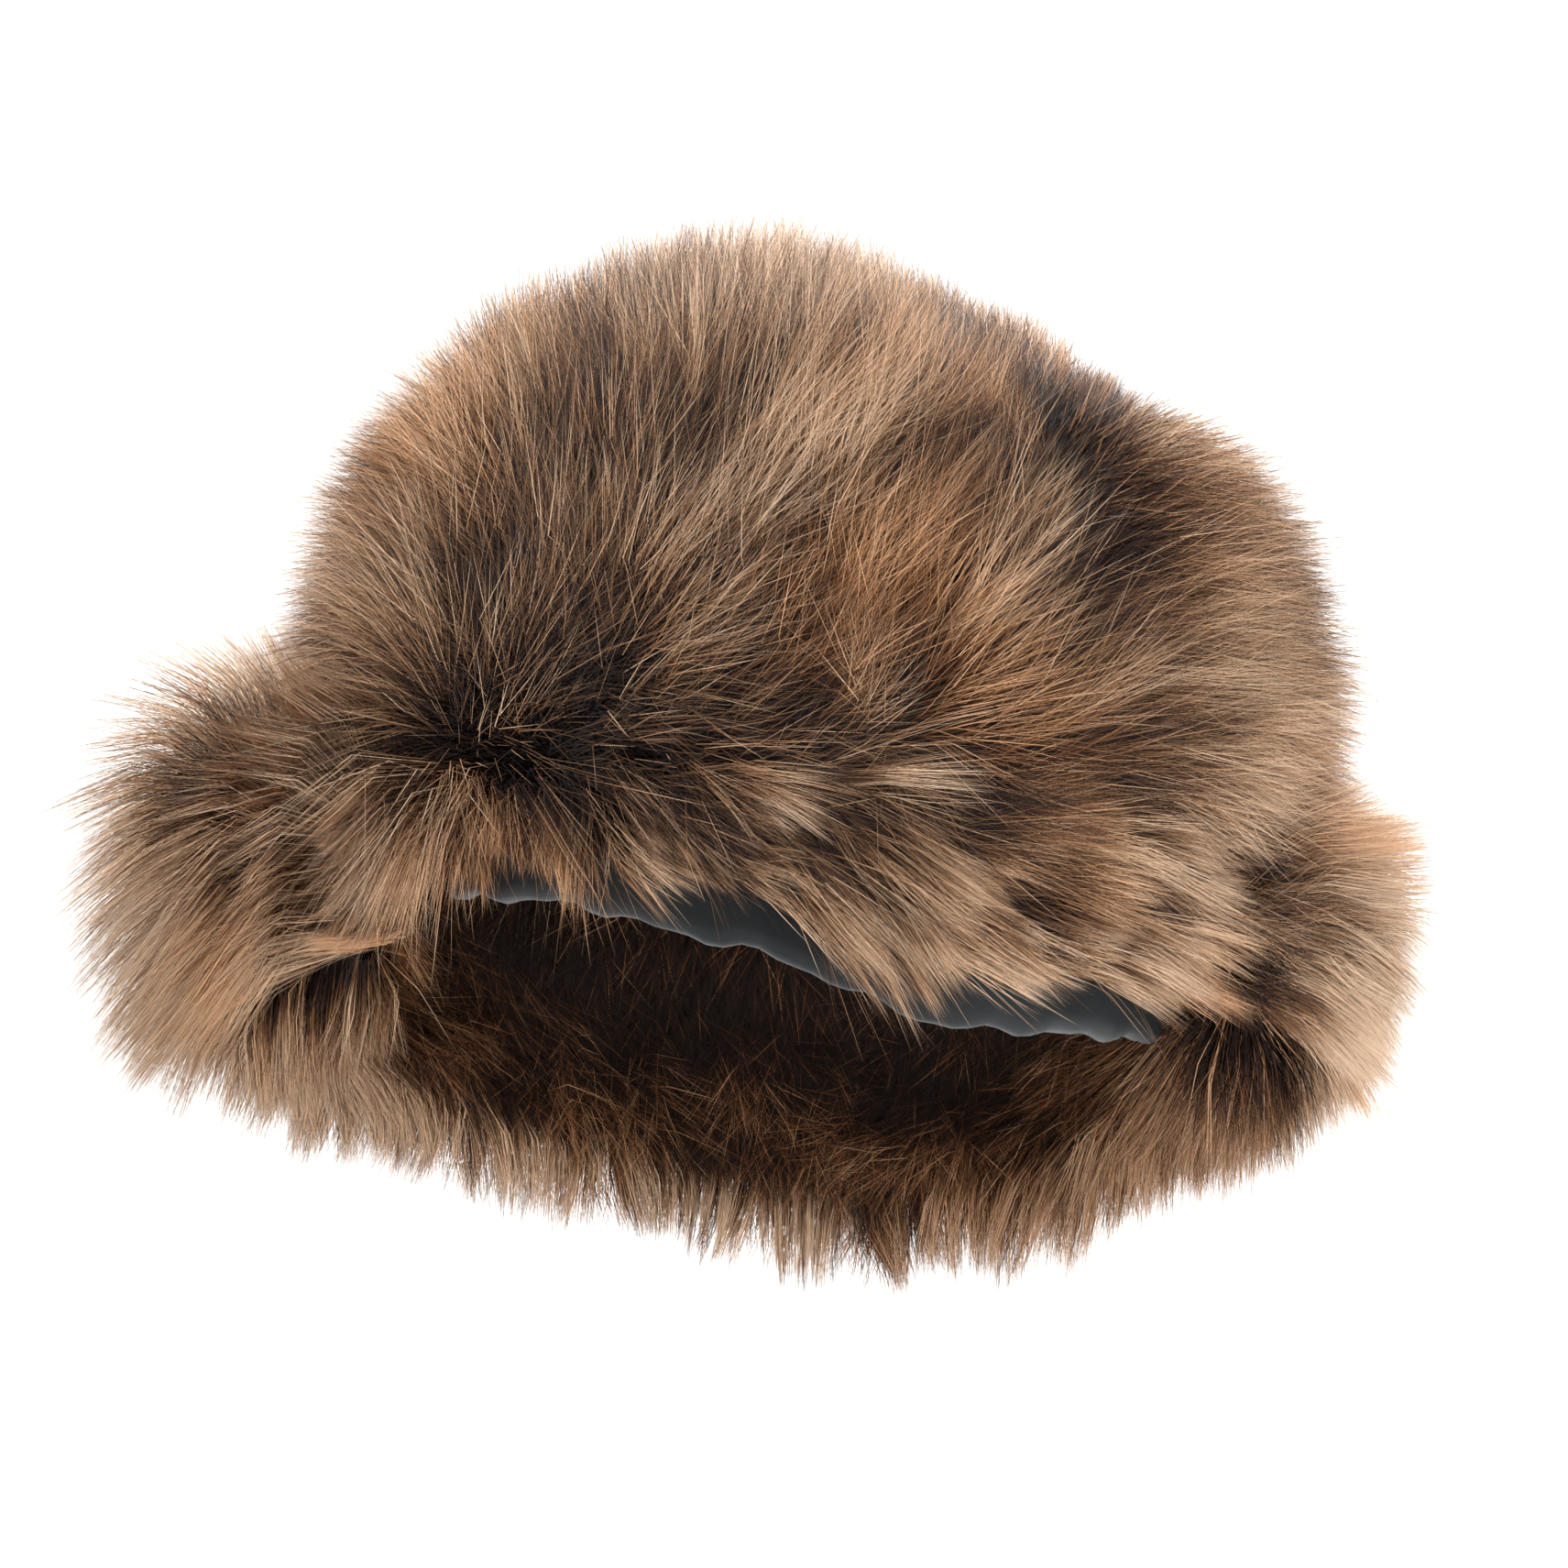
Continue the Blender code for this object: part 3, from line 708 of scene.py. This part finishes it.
def coat(panel, spread, flow, length, lean, dark, chance, warm=0.0):
    """A panel with its hairs and what their colour depends on. The darkest roots are also the messiest."""
    area = panel_area(panel)
    hairs, tone = grow(spread, flow, length, lean, np.clip(dark, 0, 1), area, chance)
    dark = dark * np.where(dark > 0, chance.uniform(0.3, 1.15, len(dark)), 1)
    return {
        "panel": panel,
        "hairs": hairs,
        "blades": blades(hairs, spread["normal"], chance),
        "luck": chance.random(len(flow)),
        "tone": tone,
        "dark": dark,
        "warm": warm,
        "root": spread["root"],
    }


def on_crown(partings):
    """The partings with their places moved onto the crown."""
    return [{**parting, "at": on_dome(parting["at"], CROWN_OUTER)} for parting in partings]


def steps(table, places):
    """Values between a table's even steps."""
    return np.interp(places, (np.arange(len(table)) + 0.5) / len(table), table)


def behind_share(root):
    """From 0 on the crown's front to 1 on its back."""
    return np.clip((root[:, 1] + 0.02) / 0.12, 0, 1)


def valleys(root):
    """Painted shade in valleys that come and go along the seam of crown and brow, and end before the left.
    """
    come_and_go = np.clip(waves(root, VALLEY_WAVES)[:, 0] * 3.2 + 0.55, 0, 1)
    return come_and_go * np.clip((0.070 - root[:, 0]) / 0.030, 0, 1)


def crown_comb(root):
    """The way the crown's pile is combed: away from the whorl and ever more upward in front, out sideways
    on the right, and down at the back."""
    x, height = root[:, 0], root[:, 2]
    rise = np.interp(height, RISE["height"], RISE["rise"])
    rise += 0.6 * np.interp(x, [0, 0.02], [0, 1]) * np.interp(height, [0, 0.015], [0, 1])
    rise = rise * np.interp(x, [0.056, 0.063], [1, 0])
    sideways = rise * np.interp(x, [-0.06, 0], [-0.6, -0.1])
    base = unit(root - WHORL) + np.stack([sideways, 0.6 * rise, rise - 0.12], axis=-1)
    right = np.interp(x, [-0.075, -0.058], [1, 0])[:, None]
    slope = np.interp(height, [0, 0.03, 0.075], [-1, -0.1, 0.6])
    out = np.stack([np.full_like(slope, -1.0), np.full_like(slope, 0.1), slope], axis=-1)
    base = base * (1 - right) + 2 * right * out
    behind = behind_share(root)[:, None]
    return unit(base) * (1 - behind) + behind * np.array([0, 0.5, -1.0])


def crown_coat(panel, count, seed, seam_distance, share_of_pile, lean):
    """Pile of a crown panel, over the brow seam, with painted shade in the valleys along its seams and over
    its front. seam_distance and share_of_pile are functions of the hairs' spread."""
    chance = np.random.default_rng(seed)
    spread = scatter(panel, count, chance)
    root = spread["root"]
    front = 1 - behind_share(root)
    flow, dark = comb(spread, crown_comb(root), on_crown(PARTINGS))
    # Painted shade: in the valleys along the brow seam, along the strip's seams and over the crown's front
    dark = np.maximum(dark, 0.7 * valleys(root) * np.exp(-root[:, 2] / VALLEY_HEIGHT) * front)
    seam = np.exp(-((seam_distance(spread) / SEAM_SHADE_WIDTH) ** 2))
    seam *= np.clip((SEAM_SHADE_TOP - root[:, 2]) / 0.020, 0, 1)
    seam *= np.clip(waves(root, SEAM_WAVES)[:, 1] * 2.5 + 0.5, 0, 1)
    dark = np.maximum(dark, 0.8 * seam) + FRONT_PAINTED_SHADE * front
    stand = 14 * np.clip((root[:, 2] - 0.055) / 0.025, 0, 1) * front
    lean = [angle - stand for angle in lean]
    length = CROWN_PILE * share_of_pile(spread) * chance.uniform(*CROWN_LENGTHS, count)
    length *= np.maximum(1 - 0.4 * dark, 0.35)
    return coat(panel, spread, flow, length, lean, dark, chance)


def strip_pile(spread):
    """Share of the pile's length across the strip, above its front."""
    high = np.clip((spread["root"][:, 2] - 0.045) / 0.03, 0, 1)
    return 1 - (1 - steps(STRIP_PILE, spread["column"])) * high


def left_side_pile(spread):
    """The same up the left side panel."""
    return steps(LEFT_SIDE_PILE, spread["row"])


def right_side_pile(spread):
    """The same up the right one."""
    return steps(RIGHT_SIDE_PILE, spread["row"])


def centre_seam(spread):
    """Distance to the nearer seam of the centre strip."""
    return np.minimum(spread["column"], 1 - spread["column"]) * STRIP_WIDTH


def side_seam(spread):
    """Distance to a side panel's nearest seam with the strip."""
    across = np.minimum(spread["column"], 1 - spread["column"]) * HEAD_LENGTH
    up = (1 - spread["row"]) * CROWN_DEPTH
    return np.minimum(across, up)


def brow_coat(panel, count, seed):
    """Pile of the brow band: combed to the left and down, with one bundle that hangs over the lining."""
    chance = np.random.default_rng(seed)
    spread = scatter(panel, count, chance)
    root, row = spread["root"], spread["row"]
    x = root[:, 0]
    bundle = np.exp(-(((x - 0.018) / 0.010) ** 2)) * row
    level = 0.75 * np.clip((x + 0.02) / 0.03, 0, 1) * (1 - row)
    fall = np.interp(x, [-0.05, -0.02], [1.6, 0.9]) - level + 2.4 * bundle
    base = 0.4 * unit(root - WHORL) + spread["across"] + spread["fall"] * fall[:, None]
    flow, dark = comb(spread, base, on_crown(PARTINGS))
    ragged = 1 + 0.9 * waves(root, 90)[:, 2]
    length = BROW_PILE * ragged * chance.uniform(*BAND_LENGTHS, count) * (1 - 0.2 * row)
    length *= 1 + 0.4 * bundle + np.interp(x, [-0.06, -0.02], [0.6, 0])
    stand = 16 * np.interp(spread["column"], [0.75, 1], [0, 1])
    lean = [angle - stand for angle in BROW_LEAN]
    # Painted shade in the valleys under the crown seam, and a little over the whole band
    dark = np.maximum(dark, valleys(root) * np.exp(-((row / 0.45) ** 2))) + BROW_PAINTED_SHADE
    return coat(panel, spread, flow, length, lean, dark, chance)


def flap_flow(spread, sweep):
    """The way a flap's pile is combed, before its partings, and how near its front each hair is."""
    column = spread["column"]
    back = np.exp(-(((1 - column) / 0.05) ** 2))
    front = np.exp(-((column / sweep[1]) ** 2))
    return spread["fall"] + spread["across"] * (0.9 * back + sweep[0] * front)[:, None], front


def outer_coat(panel, look):
    """Pile of a flap's outside: combed down, over the seam behind, and shorter under the crown seam."""
    chance = np.random.default_rng(look["seed"])
    spread = scatter(panel, FLAP_HAIRS, chance)
    base, front = flap_flow(spread, look["sweep"])
    grid = panel[0]
    partings = []
    for parting in look["partings"]:
        down, along = (round(parting[way] * SKIN_CELLS) for way in ("down", "along"))
        partings.append({**parting, "at": grid[down, along]})
    flow, dark = comb(spread, base, partings)
    top = np.exp(-((spread["row"] / 0.12) ** 2))
    length = look["pile"] * chance.uniform(*BAND_LENGTHS, FLAP_HAIRS) * (1 - 0.35 * top) * (1 - 0.35 * dark)
    length *= 1 + 0.01 * look["stand"] * front
    lean = [angle - look["stand"] * front for angle in FLAP_LEAN]
    # Painted shade just under the crown seam, and painted light that makes the flap paler away from it
    dark = np.maximum(dark, 0.15 * top) - look["light"] * (1 - top) * (1 - dark)
    return coat(panel, spread, flow, length, lean, dark, chance)


def inner_coat(panel, look):
    """Pile of a flap's inside: shorter, combed down and with painted shade towards the crown."""
    chance = np.random.default_rng(look["seed"] + INNER_SEED)
    spread = scatter(panel, INNER_HAIRS, chance)
    flow, dark = comb(spread, flap_flow(spread, NO_SWEEP)[0], [])
    top = np.exp(-((spread["row"] / 0.12) ** 2))
    length = INNER_PILE * chance.uniform(*BAND_LENGTHS, INNER_HAIRS) * (1 - 0.35 * top)
    # Painted shade over the inside, deepest towards the crown and lifting towards the lower edge
    shade = np.interp(spread["column"], [0.1, 0.4], look["shade"])
    dark = dark + np.interp(spread["row"], [0.55, 1.0], [1.0, 0.3]) * shade
    return coat(panel, spread, flow, length, INNER_LEAN, dark, chance, INNER_WARM)


def edge_coat(panel, count, seed, pile, hang, lean, along, dark, warm=0.0):
    """Pile along a flap's edge: it stands off the edge and hangs over in the direction given. along names
    the share that runs along the edge, and dark is the painted shade at its start and further on, painted
    light where it is negative."""
    chance = np.random.default_rng(seed)
    spread = scatter(panel, count, chance)
    flow = unit(tangent(np.array(hang) + 0.1 * spread["normal"], spread["normal"]))
    flow = unit(flow + 0.8 * waves(spread["root"], 60))
    length = pile * chance.uniform(*EDGE_LENGTHS, count)
    # Painted shade along the edge, and painted light where the darkness is negative
    darkness = np.interp(spread[along], [0.0, 0.4], dark)
    return coat(panel, spread, flow, length, lean, darkness, chance, warm)


class Nodes:
    """Short forms for building a material's node tree."""

    def __init__(self, name):
        self.material = bpy.data.materials.new(name)
        self.material.use_nodes = True
        self.tree = self.material.node_tree
        self.shader = self.tree.nodes["Principled BSDF"]

    def node(self, kind, **settings):
        made = self.tree.nodes.new(kind)
        for label, value in settings.items():
            setattr(made, label, value)
        return made

    def link(self, source, target):
        self.tree.links.new(source, target)

    def attribute(self, name, output="Fac"):
        return self.node("ShaderNodeAttribute", attribute_name=name).outputs[output]

    def noise(self, vector, scale, detail=2.0, stretch=(1, 1, 1)):
        mapping = self.node("ShaderNodeMapping")
        mapping.inputs["Scale"].default_value = stretch
        self.link(vector, mapping.inputs["Vector"])
        texture = self.node("ShaderNodeTexNoise")
        texture.inputs["Scale"].default_value = scale
        texture.inputs["Detail"].default_value = detail
        self.link(mapping.outputs[0], texture.inputs["Vector"])
        return texture.outputs["Fac"]

    def math(self, operation, first, second):
        made = self.node("ShaderNodeMath", operation=operation)
        for socket, value in zip(made.inputs, (first, second)):
            if isinstance(value, (int, float)):
                socket.default_value = value
            else:
                self.link(value, socket)
        return made.outputs[0]

    def ramp(self, value, stops):
        made = self.node("ShaderNodeValToRGB")
        elements = made.color_ramp.elements
        while len(elements) < len(stops):
            elements.new(0.5)
        for element, (place, colour) in zip(elements, stops):
            element.position = place
            element.color = (*colour, 1)
        self.link(value, made.inputs[0])
        return made.outputs[0]

    def mix(self, share, first, second, blend="MIX"):
        made = self.node("ShaderNodeMix", data_type="RGBA", blend_type=blend)
        for socket, value in zip((made.inputs[0], made.inputs[6], made.inputs[7]), (share, first, second)):
            if isinstance(value, (int, float)):
                socket.default_value = value
            elif isinstance(value, tuple):
                socket.default_value = (*value, 1)
            else:
                self.link(value, socket)
        return made.outputs[2]


def grey(value):
    return (value, value, value)


def fur_material():
    """Charcoal roots, brown shafts and pale tips, in locks of uneven tone, with rusty and ashen patches, and
    the painted shade and light that the dark attribute carries.
    """
    nodes = Nodes("fur")
    root = nodes.attribute("root", "Vector")
    luck = nodes.attribute("luck")
    place = nodes.attribute("along")
    # The dark attribute pulls the colour towards the roots' charcoal: the partings' dark roots, with painted
    # shade in valleys, seams, the crown's front and the flaps' insides, and painted light where it is
    # negative
    for share, middle, weight in (
        (nodes.noise(root, 24, 3), 0.5, 1.2),
        (nodes.noise(root, 75, 2), 0.5, 0.9),
        (nodes.attribute("tone"), 0.0, 0.62),
        (luck, 0.5, 0.52),
        (nodes.attribute("dark"), 0.0, -0.58),
    ):
        centred = nodes.math("SUBTRACT", share, middle)
        place = nodes.math("ADD", place, nodes.math("MULTIPLY", centred, weight))
    colour = nodes.ramp(place, FUR_STOPS)
    rusty = nodes.ramp(nodes.noise(root, 27, 2), [(0.50, grey(0)), (0.68, grey(0.7))])
    rusty = nodes.math("MAXIMUM", rusty, nodes.attribute("warm"))
    colour = nodes.mix(rusty, colour, nodes.mix(1.0, colour, RUST_TINT, "MULTIPLY"))
    ashen = nodes.ramp(nodes.noise(root, 48, 2), [(0.50, grey(0)), (0.64, grey(0.9))])
    colour = nodes.mix(ashen, colour, nodes.mix(1.0, colour, ASH_TINT, "MULTIPLY"))
    streak = nodes.ramp(luck, [(0.0, grey(0.58)), (0.5, grey(1.0)), (1.0, grey(1.30))])
    colour = nodes.mix(1.0, colour, streak, "MULTIPLY")
    nodes.link(colour, nodes.shader.inputs["Base Color"])
    nodes.shader.inputs["Roughness"].default_value = 0.6
    nodes.shader.inputs["Specular IOR Level"].default_value = 0.12
    return nodes.material


def suede_material():
    """The flaps' hide: dark and matt, with a fine uneven nap."""
    nodes = Nodes("suede")
    place = nodes.node("ShaderNodeTexCoord").outputs["Object"]
    nap = nodes.noise(place, 900, 3)
    colour = nodes.mix(nodes.noise(place, 60, 3), SUEDE, tuple(1.8 * part for part in SUEDE))
    nodes.link(colour, nodes.shader.inputs["Base Color"])
    nodes.shader.inputs["Roughness"].default_value = 0.88
    bump = nodes.node("ShaderNodeBump")
    bump.inputs["Strength"].default_value = 0.4
    bump.inputs["Distance"].default_value = 0.0003
    nodes.link(nap, bump.inputs["Height"])
    nodes.link(bump.outputs[0], nodes.shader.inputs["Normal"])
    return nodes.material


def satin_material():
    """The lining's dark satin: an uneven sheen and a fine weave."""
    nodes = Nodes("satin")
    place = nodes.node("ShaderNodeTexCoord").outputs["Object"]
    weave = nodes.noise(place, 2600, 1, (1, 1, 0.25))
    slub = nodes.noise(place, 90, 3)
    colour = nodes.mix(slub, SATIN, tuple(2.2 * part for part in SATIN))
    nodes.link(colour, nodes.shader.inputs["Base Color"])
    rough = nodes.ramp(slub, [(0.3, grey(0.45)), (0.7, grey(0.62))])
    nodes.link(rough, nodes.shader.inputs["Roughness"])
    nodes.shader.inputs["Specular IOR Level"].default_value = 0.2
    bump = nodes.node("ShaderNodeBump")
    bump.inputs["Strength"].default_value = 0.25
    bump.inputs["Distance"].default_value = 0.0002
    nodes.link(weave, bump.inputs["Height"])
    nodes.link(bump.outputs[0], nodes.shader.inputs["Normal"])
    return nodes.material


def lining_section(angle):
    """Points down the lining's inner face, round its hem and up its outer face."""
    along = (angle - BROW_RIGHT_END) / (BROW_LEFT_END - BROW_RIGHT_END)
    if 0 < along < 1:
        fold = sum(height * math.sin(math.radians(angle * waves_round)) for waves_round, height in HEM_FOLDS)
        edge_z = -float(brow_drop(along)) - HEM_DROP + HEM_THICKNESS / 2 + fold
        thickness = HEM_THICKNESS
    else:
        edge_z, thickness = SEAM_GAP + LINING_WALL / 2, LINING_WALL
    walls = []
    for axes in (LINING_INNER, LINING_OUTER):
        rim = on_rim(angle, axes)
        points = []
        for share in np.linspace(0, 1, LINING_RINGS + 1)[:-1]:
            out, high = upright_section(90 * share)
            crease = CREASE_SHARE * math.sin(math.radians(angle * LINING_CREASES) + 3 * share) * (1 - share)
            height = axes[2] * high if share else RIM_HEIGHT
            points.append((rim[0] * out * (1 - crease), rim[1] * out * (1 - crease), height))
        walls.append(points)
    away = unit(on_rim(angle, LINING_OUTER) - on_rim(angle, LINING_INNER))
    centre = on_rim(angle, LINING_OUTER, edge_z) - away * thickness / 2
    hem = []
    for share in np.linspace(0, 1, HEM_FACETS + 1):
        turn = math.radians(HEM_START + HEM_TURN * share)
        hem.append(centre + (away * math.cos(turn) + np.array([0, 0, math.sin(turn)])) * thickness / 2)
    return walls[0][::-1] + hem + walls[1]


def lining(material):
    """The satin dome with its hem, one closed shell of sections around the head."""
    sections = [lining_section(360 * (k + 0.5) / LINING_SEGMENTS - 180) for k in range(LINING_SEGMENTS)]
    ring = len(sections[0])
    points = [tuple(float(c) for c in p) for section in sections for p in section]
    inner_top, outer_top = len(points), len(points) + 1
    points += [(0, 0, LINING_INNER[2]), (0, 0, LINING_OUTER[2])]
    faces = []
    for k in range(LINING_SEGMENTS):
        here, after = k * ring, (k + 1) % LINING_SEGMENTS * ring
        faces.append((inner_top, here, after))
        faces.append((outer_top, after + ring - 1, here + ring - 1))
        faces += [(here + a, here + a + 1, after + a + 1, after + a) for a in range(ring - 1)]
    mesh = bpy.data.meshes.new("lining_satin")
    mesh.from_pydata(points, [], faces)
    mesh.shade_smooth()
    mesh.materials.append(material)
    piece = bpy.data.objects.new("lining_satin", mesh)
    bpy.context.scene.collection.objects.link(piece)
    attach(piece, "root")
    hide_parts("lining")


def backdrop():
    """A pale floor that curves up into a wall, well away from the hat."""
    nodes = Nodes("backdrop")
    nodes.shader.inputs["Base Color"].default_value = (*BACKDROP, 1)
    nodes.shader.inputs["Roughness"].default_value = 0.9
    profile = [(FLOOR_FRONT_Y, FLOOR_Z)]
    for k in range(BEND_STEPS + 1):
        turn = math.pi / 2 * k / BEND_STEPS
        back, up = math.sin(turn) - 1, 1 - math.cos(turn)
        profile.append((WALL_Y + BEND_RADIUS * back, FLOOR_Z + BEND_RADIUS * up))
    profile.append((WALL_Y, FLOOR_Z + WALL_HEIGHT))
    points = [(x, y, z) for y, z in profile for x in (-FLOOR_HALF_WIDTH, FLOOR_HALF_WIDTH)]
    faces = [(2 * k, 2 * k + 1, 2 * k + 3, 2 * k + 2) for k in range(len(profile) - 1)]
    mesh = bpy.data.meshes.new("backdrop")
    mesh.from_pydata(points, [], faces)
    mesh.shade_smooth()
    mesh.materials.append(nodes.material)
    piece = bpy.data.objects.new("backdrop", mesh)
    bpy.context.scene.collection.objects.link(piece)


def lamp(name, place, aim, size, power):
    """A round soft lamp that faces its aim."""
    light = bpy.data.lights.new(name, "AREA")
    light.shape = "DISK"
    light.size = size
    light.energy = power
    made = bpy.data.objects.new(name, light)
    made.location = place
    made.rotation_euler = (Vector(aim) - Vector(place)).to_track_quat("-Z", "Y").to_euler()
    bpy.context.scene.collection.objects.link(made)


def lights():
    """The lamps and a white world around them."""
    for name, row in LAMPS.items():
        lamp(name, **row)
    world = bpy.data.worlds.new("studio")
    world.use_nodes = True
    background = world.node_tree.nodes["Background"]
    background.inputs["Color"].default_value = (1, 1, 1, 1)
    background.inputs["Strength"].default_value = WORLD_LIGHT
    bpy.context.scene.world = world
    bpy.context.scene.view_settings.view_transform = "Standard"


def camera():
    """The photo's view: a little from below and from the hat's left, with the hat tipped in the picture."""
    data = bpy.data.cameras.new("camera")
    data.sensor_width = 36
    data.lens = data.sensor_width * CAMERA_DISTANCE / FRAME_WIDTH
    made = bpy.data.objects.new("camera", data)
    azimuth, elevation = math.radians(CAMERA_AZIMUTH), math.radians(CAMERA_ELEVATION)
    back = Vector((math.sin(azimuth) * math.cos(elevation), -math.cos(azimuth) * math.cos(elevation),
                   math.sin(elevation)))
    aim = Matrix.Rotation(azimuth, 3, "Z") @ Vector(FRAME_CENTRE)
    made.location = aim + back * CAMERA_DISTANCE
    level = (-back).to_track_quat("-Z", "Y").to_matrix()
    made.rotation_euler = (level @ Matrix.Rotation(math.radians(CAMERA_ROLL), 3, "Z")).to_euler()
    bpy.context.scene.collection.objects.link(made)
    bpy.context.scene.camera = made


def crown(fur):
    """The furs of the crown and the brow band."""
    coats = [crown_coat(centre_panel(), STRIP_HAIRS, STRIP_SEED, centre_seam, strip_pile, STRIP_LEAN)]
    fur_piece("crown_centre_pile", "crown_centre", coats, fur)
    for name, side, seed, pile in (
        ("left", 1, LEFT_SIDE_SEED, left_side_pile),
        ("right", -1, RIGHT_SIDE_SEED, right_side_pile),
    ):
        coats = [crown_coat(side_panel(side), SIDE_HAIRS, seed, side_seam, pile, SIDE_LEAN)]
        fur_piece(f"crown_side_{name}_pile", f"crown_side_{name}", coats, fur)
    fur_piece("brow_band_pile", "brow_band", [brow_coat(brow_panel(), BROW_HAIRS, BROW_SEED)], fur)


def flap(name, look, fur, suede):
    """A flap's furs, outside with its edges and inside, and its hide's material."""
    outer, inner, low, front = flap_panels(look["side"], look["shape"])
    seed = look["seed"]
    coats = [
        outer_coat(outer, look),
        edge_coat(
            low, LOW_EDGE_HAIRS, seed + LOW_EDGE_SEED, look["low_pile"], (0, 0, -1), LOW_EDGE_LEAN,
            "column", look["low_dark"], look["low_warm"],
        ),
        edge_coat(
            front, FRONT_EDGE_HAIRS, seed + FRONT_EDGE_SEED, FRONT_EDGE_PILE, look["hang"], FRONT_EDGE_LEAN,
            "row", look["front_dark"], look["front_warm"],
        ),
    ]
    fur_piece(f"ear_flap_{name}_pile", f"ear_flap_{name}_fur", coats, fur)
    fur_piece(f"ear_flap_{name}_inner_pile", f"ear_flap_{name}_inner_fur", [inner_coat(inner, look)], fur)
    for slot in bpy.data.objects[f"ear_flap_{name}"].material_slots:
        slot.material = suede


def dress():
    """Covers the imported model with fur, suede and satin."""
    fur = fur_material()
    suede = suede_material()
    crown(fur)
    for name, look in FLAP_FUR.items():
        flap(name, look, fur, suede)
    lining(satin_material())


camera()
lights()
backdrop()
dress()
bpy.context.view_layer.update()
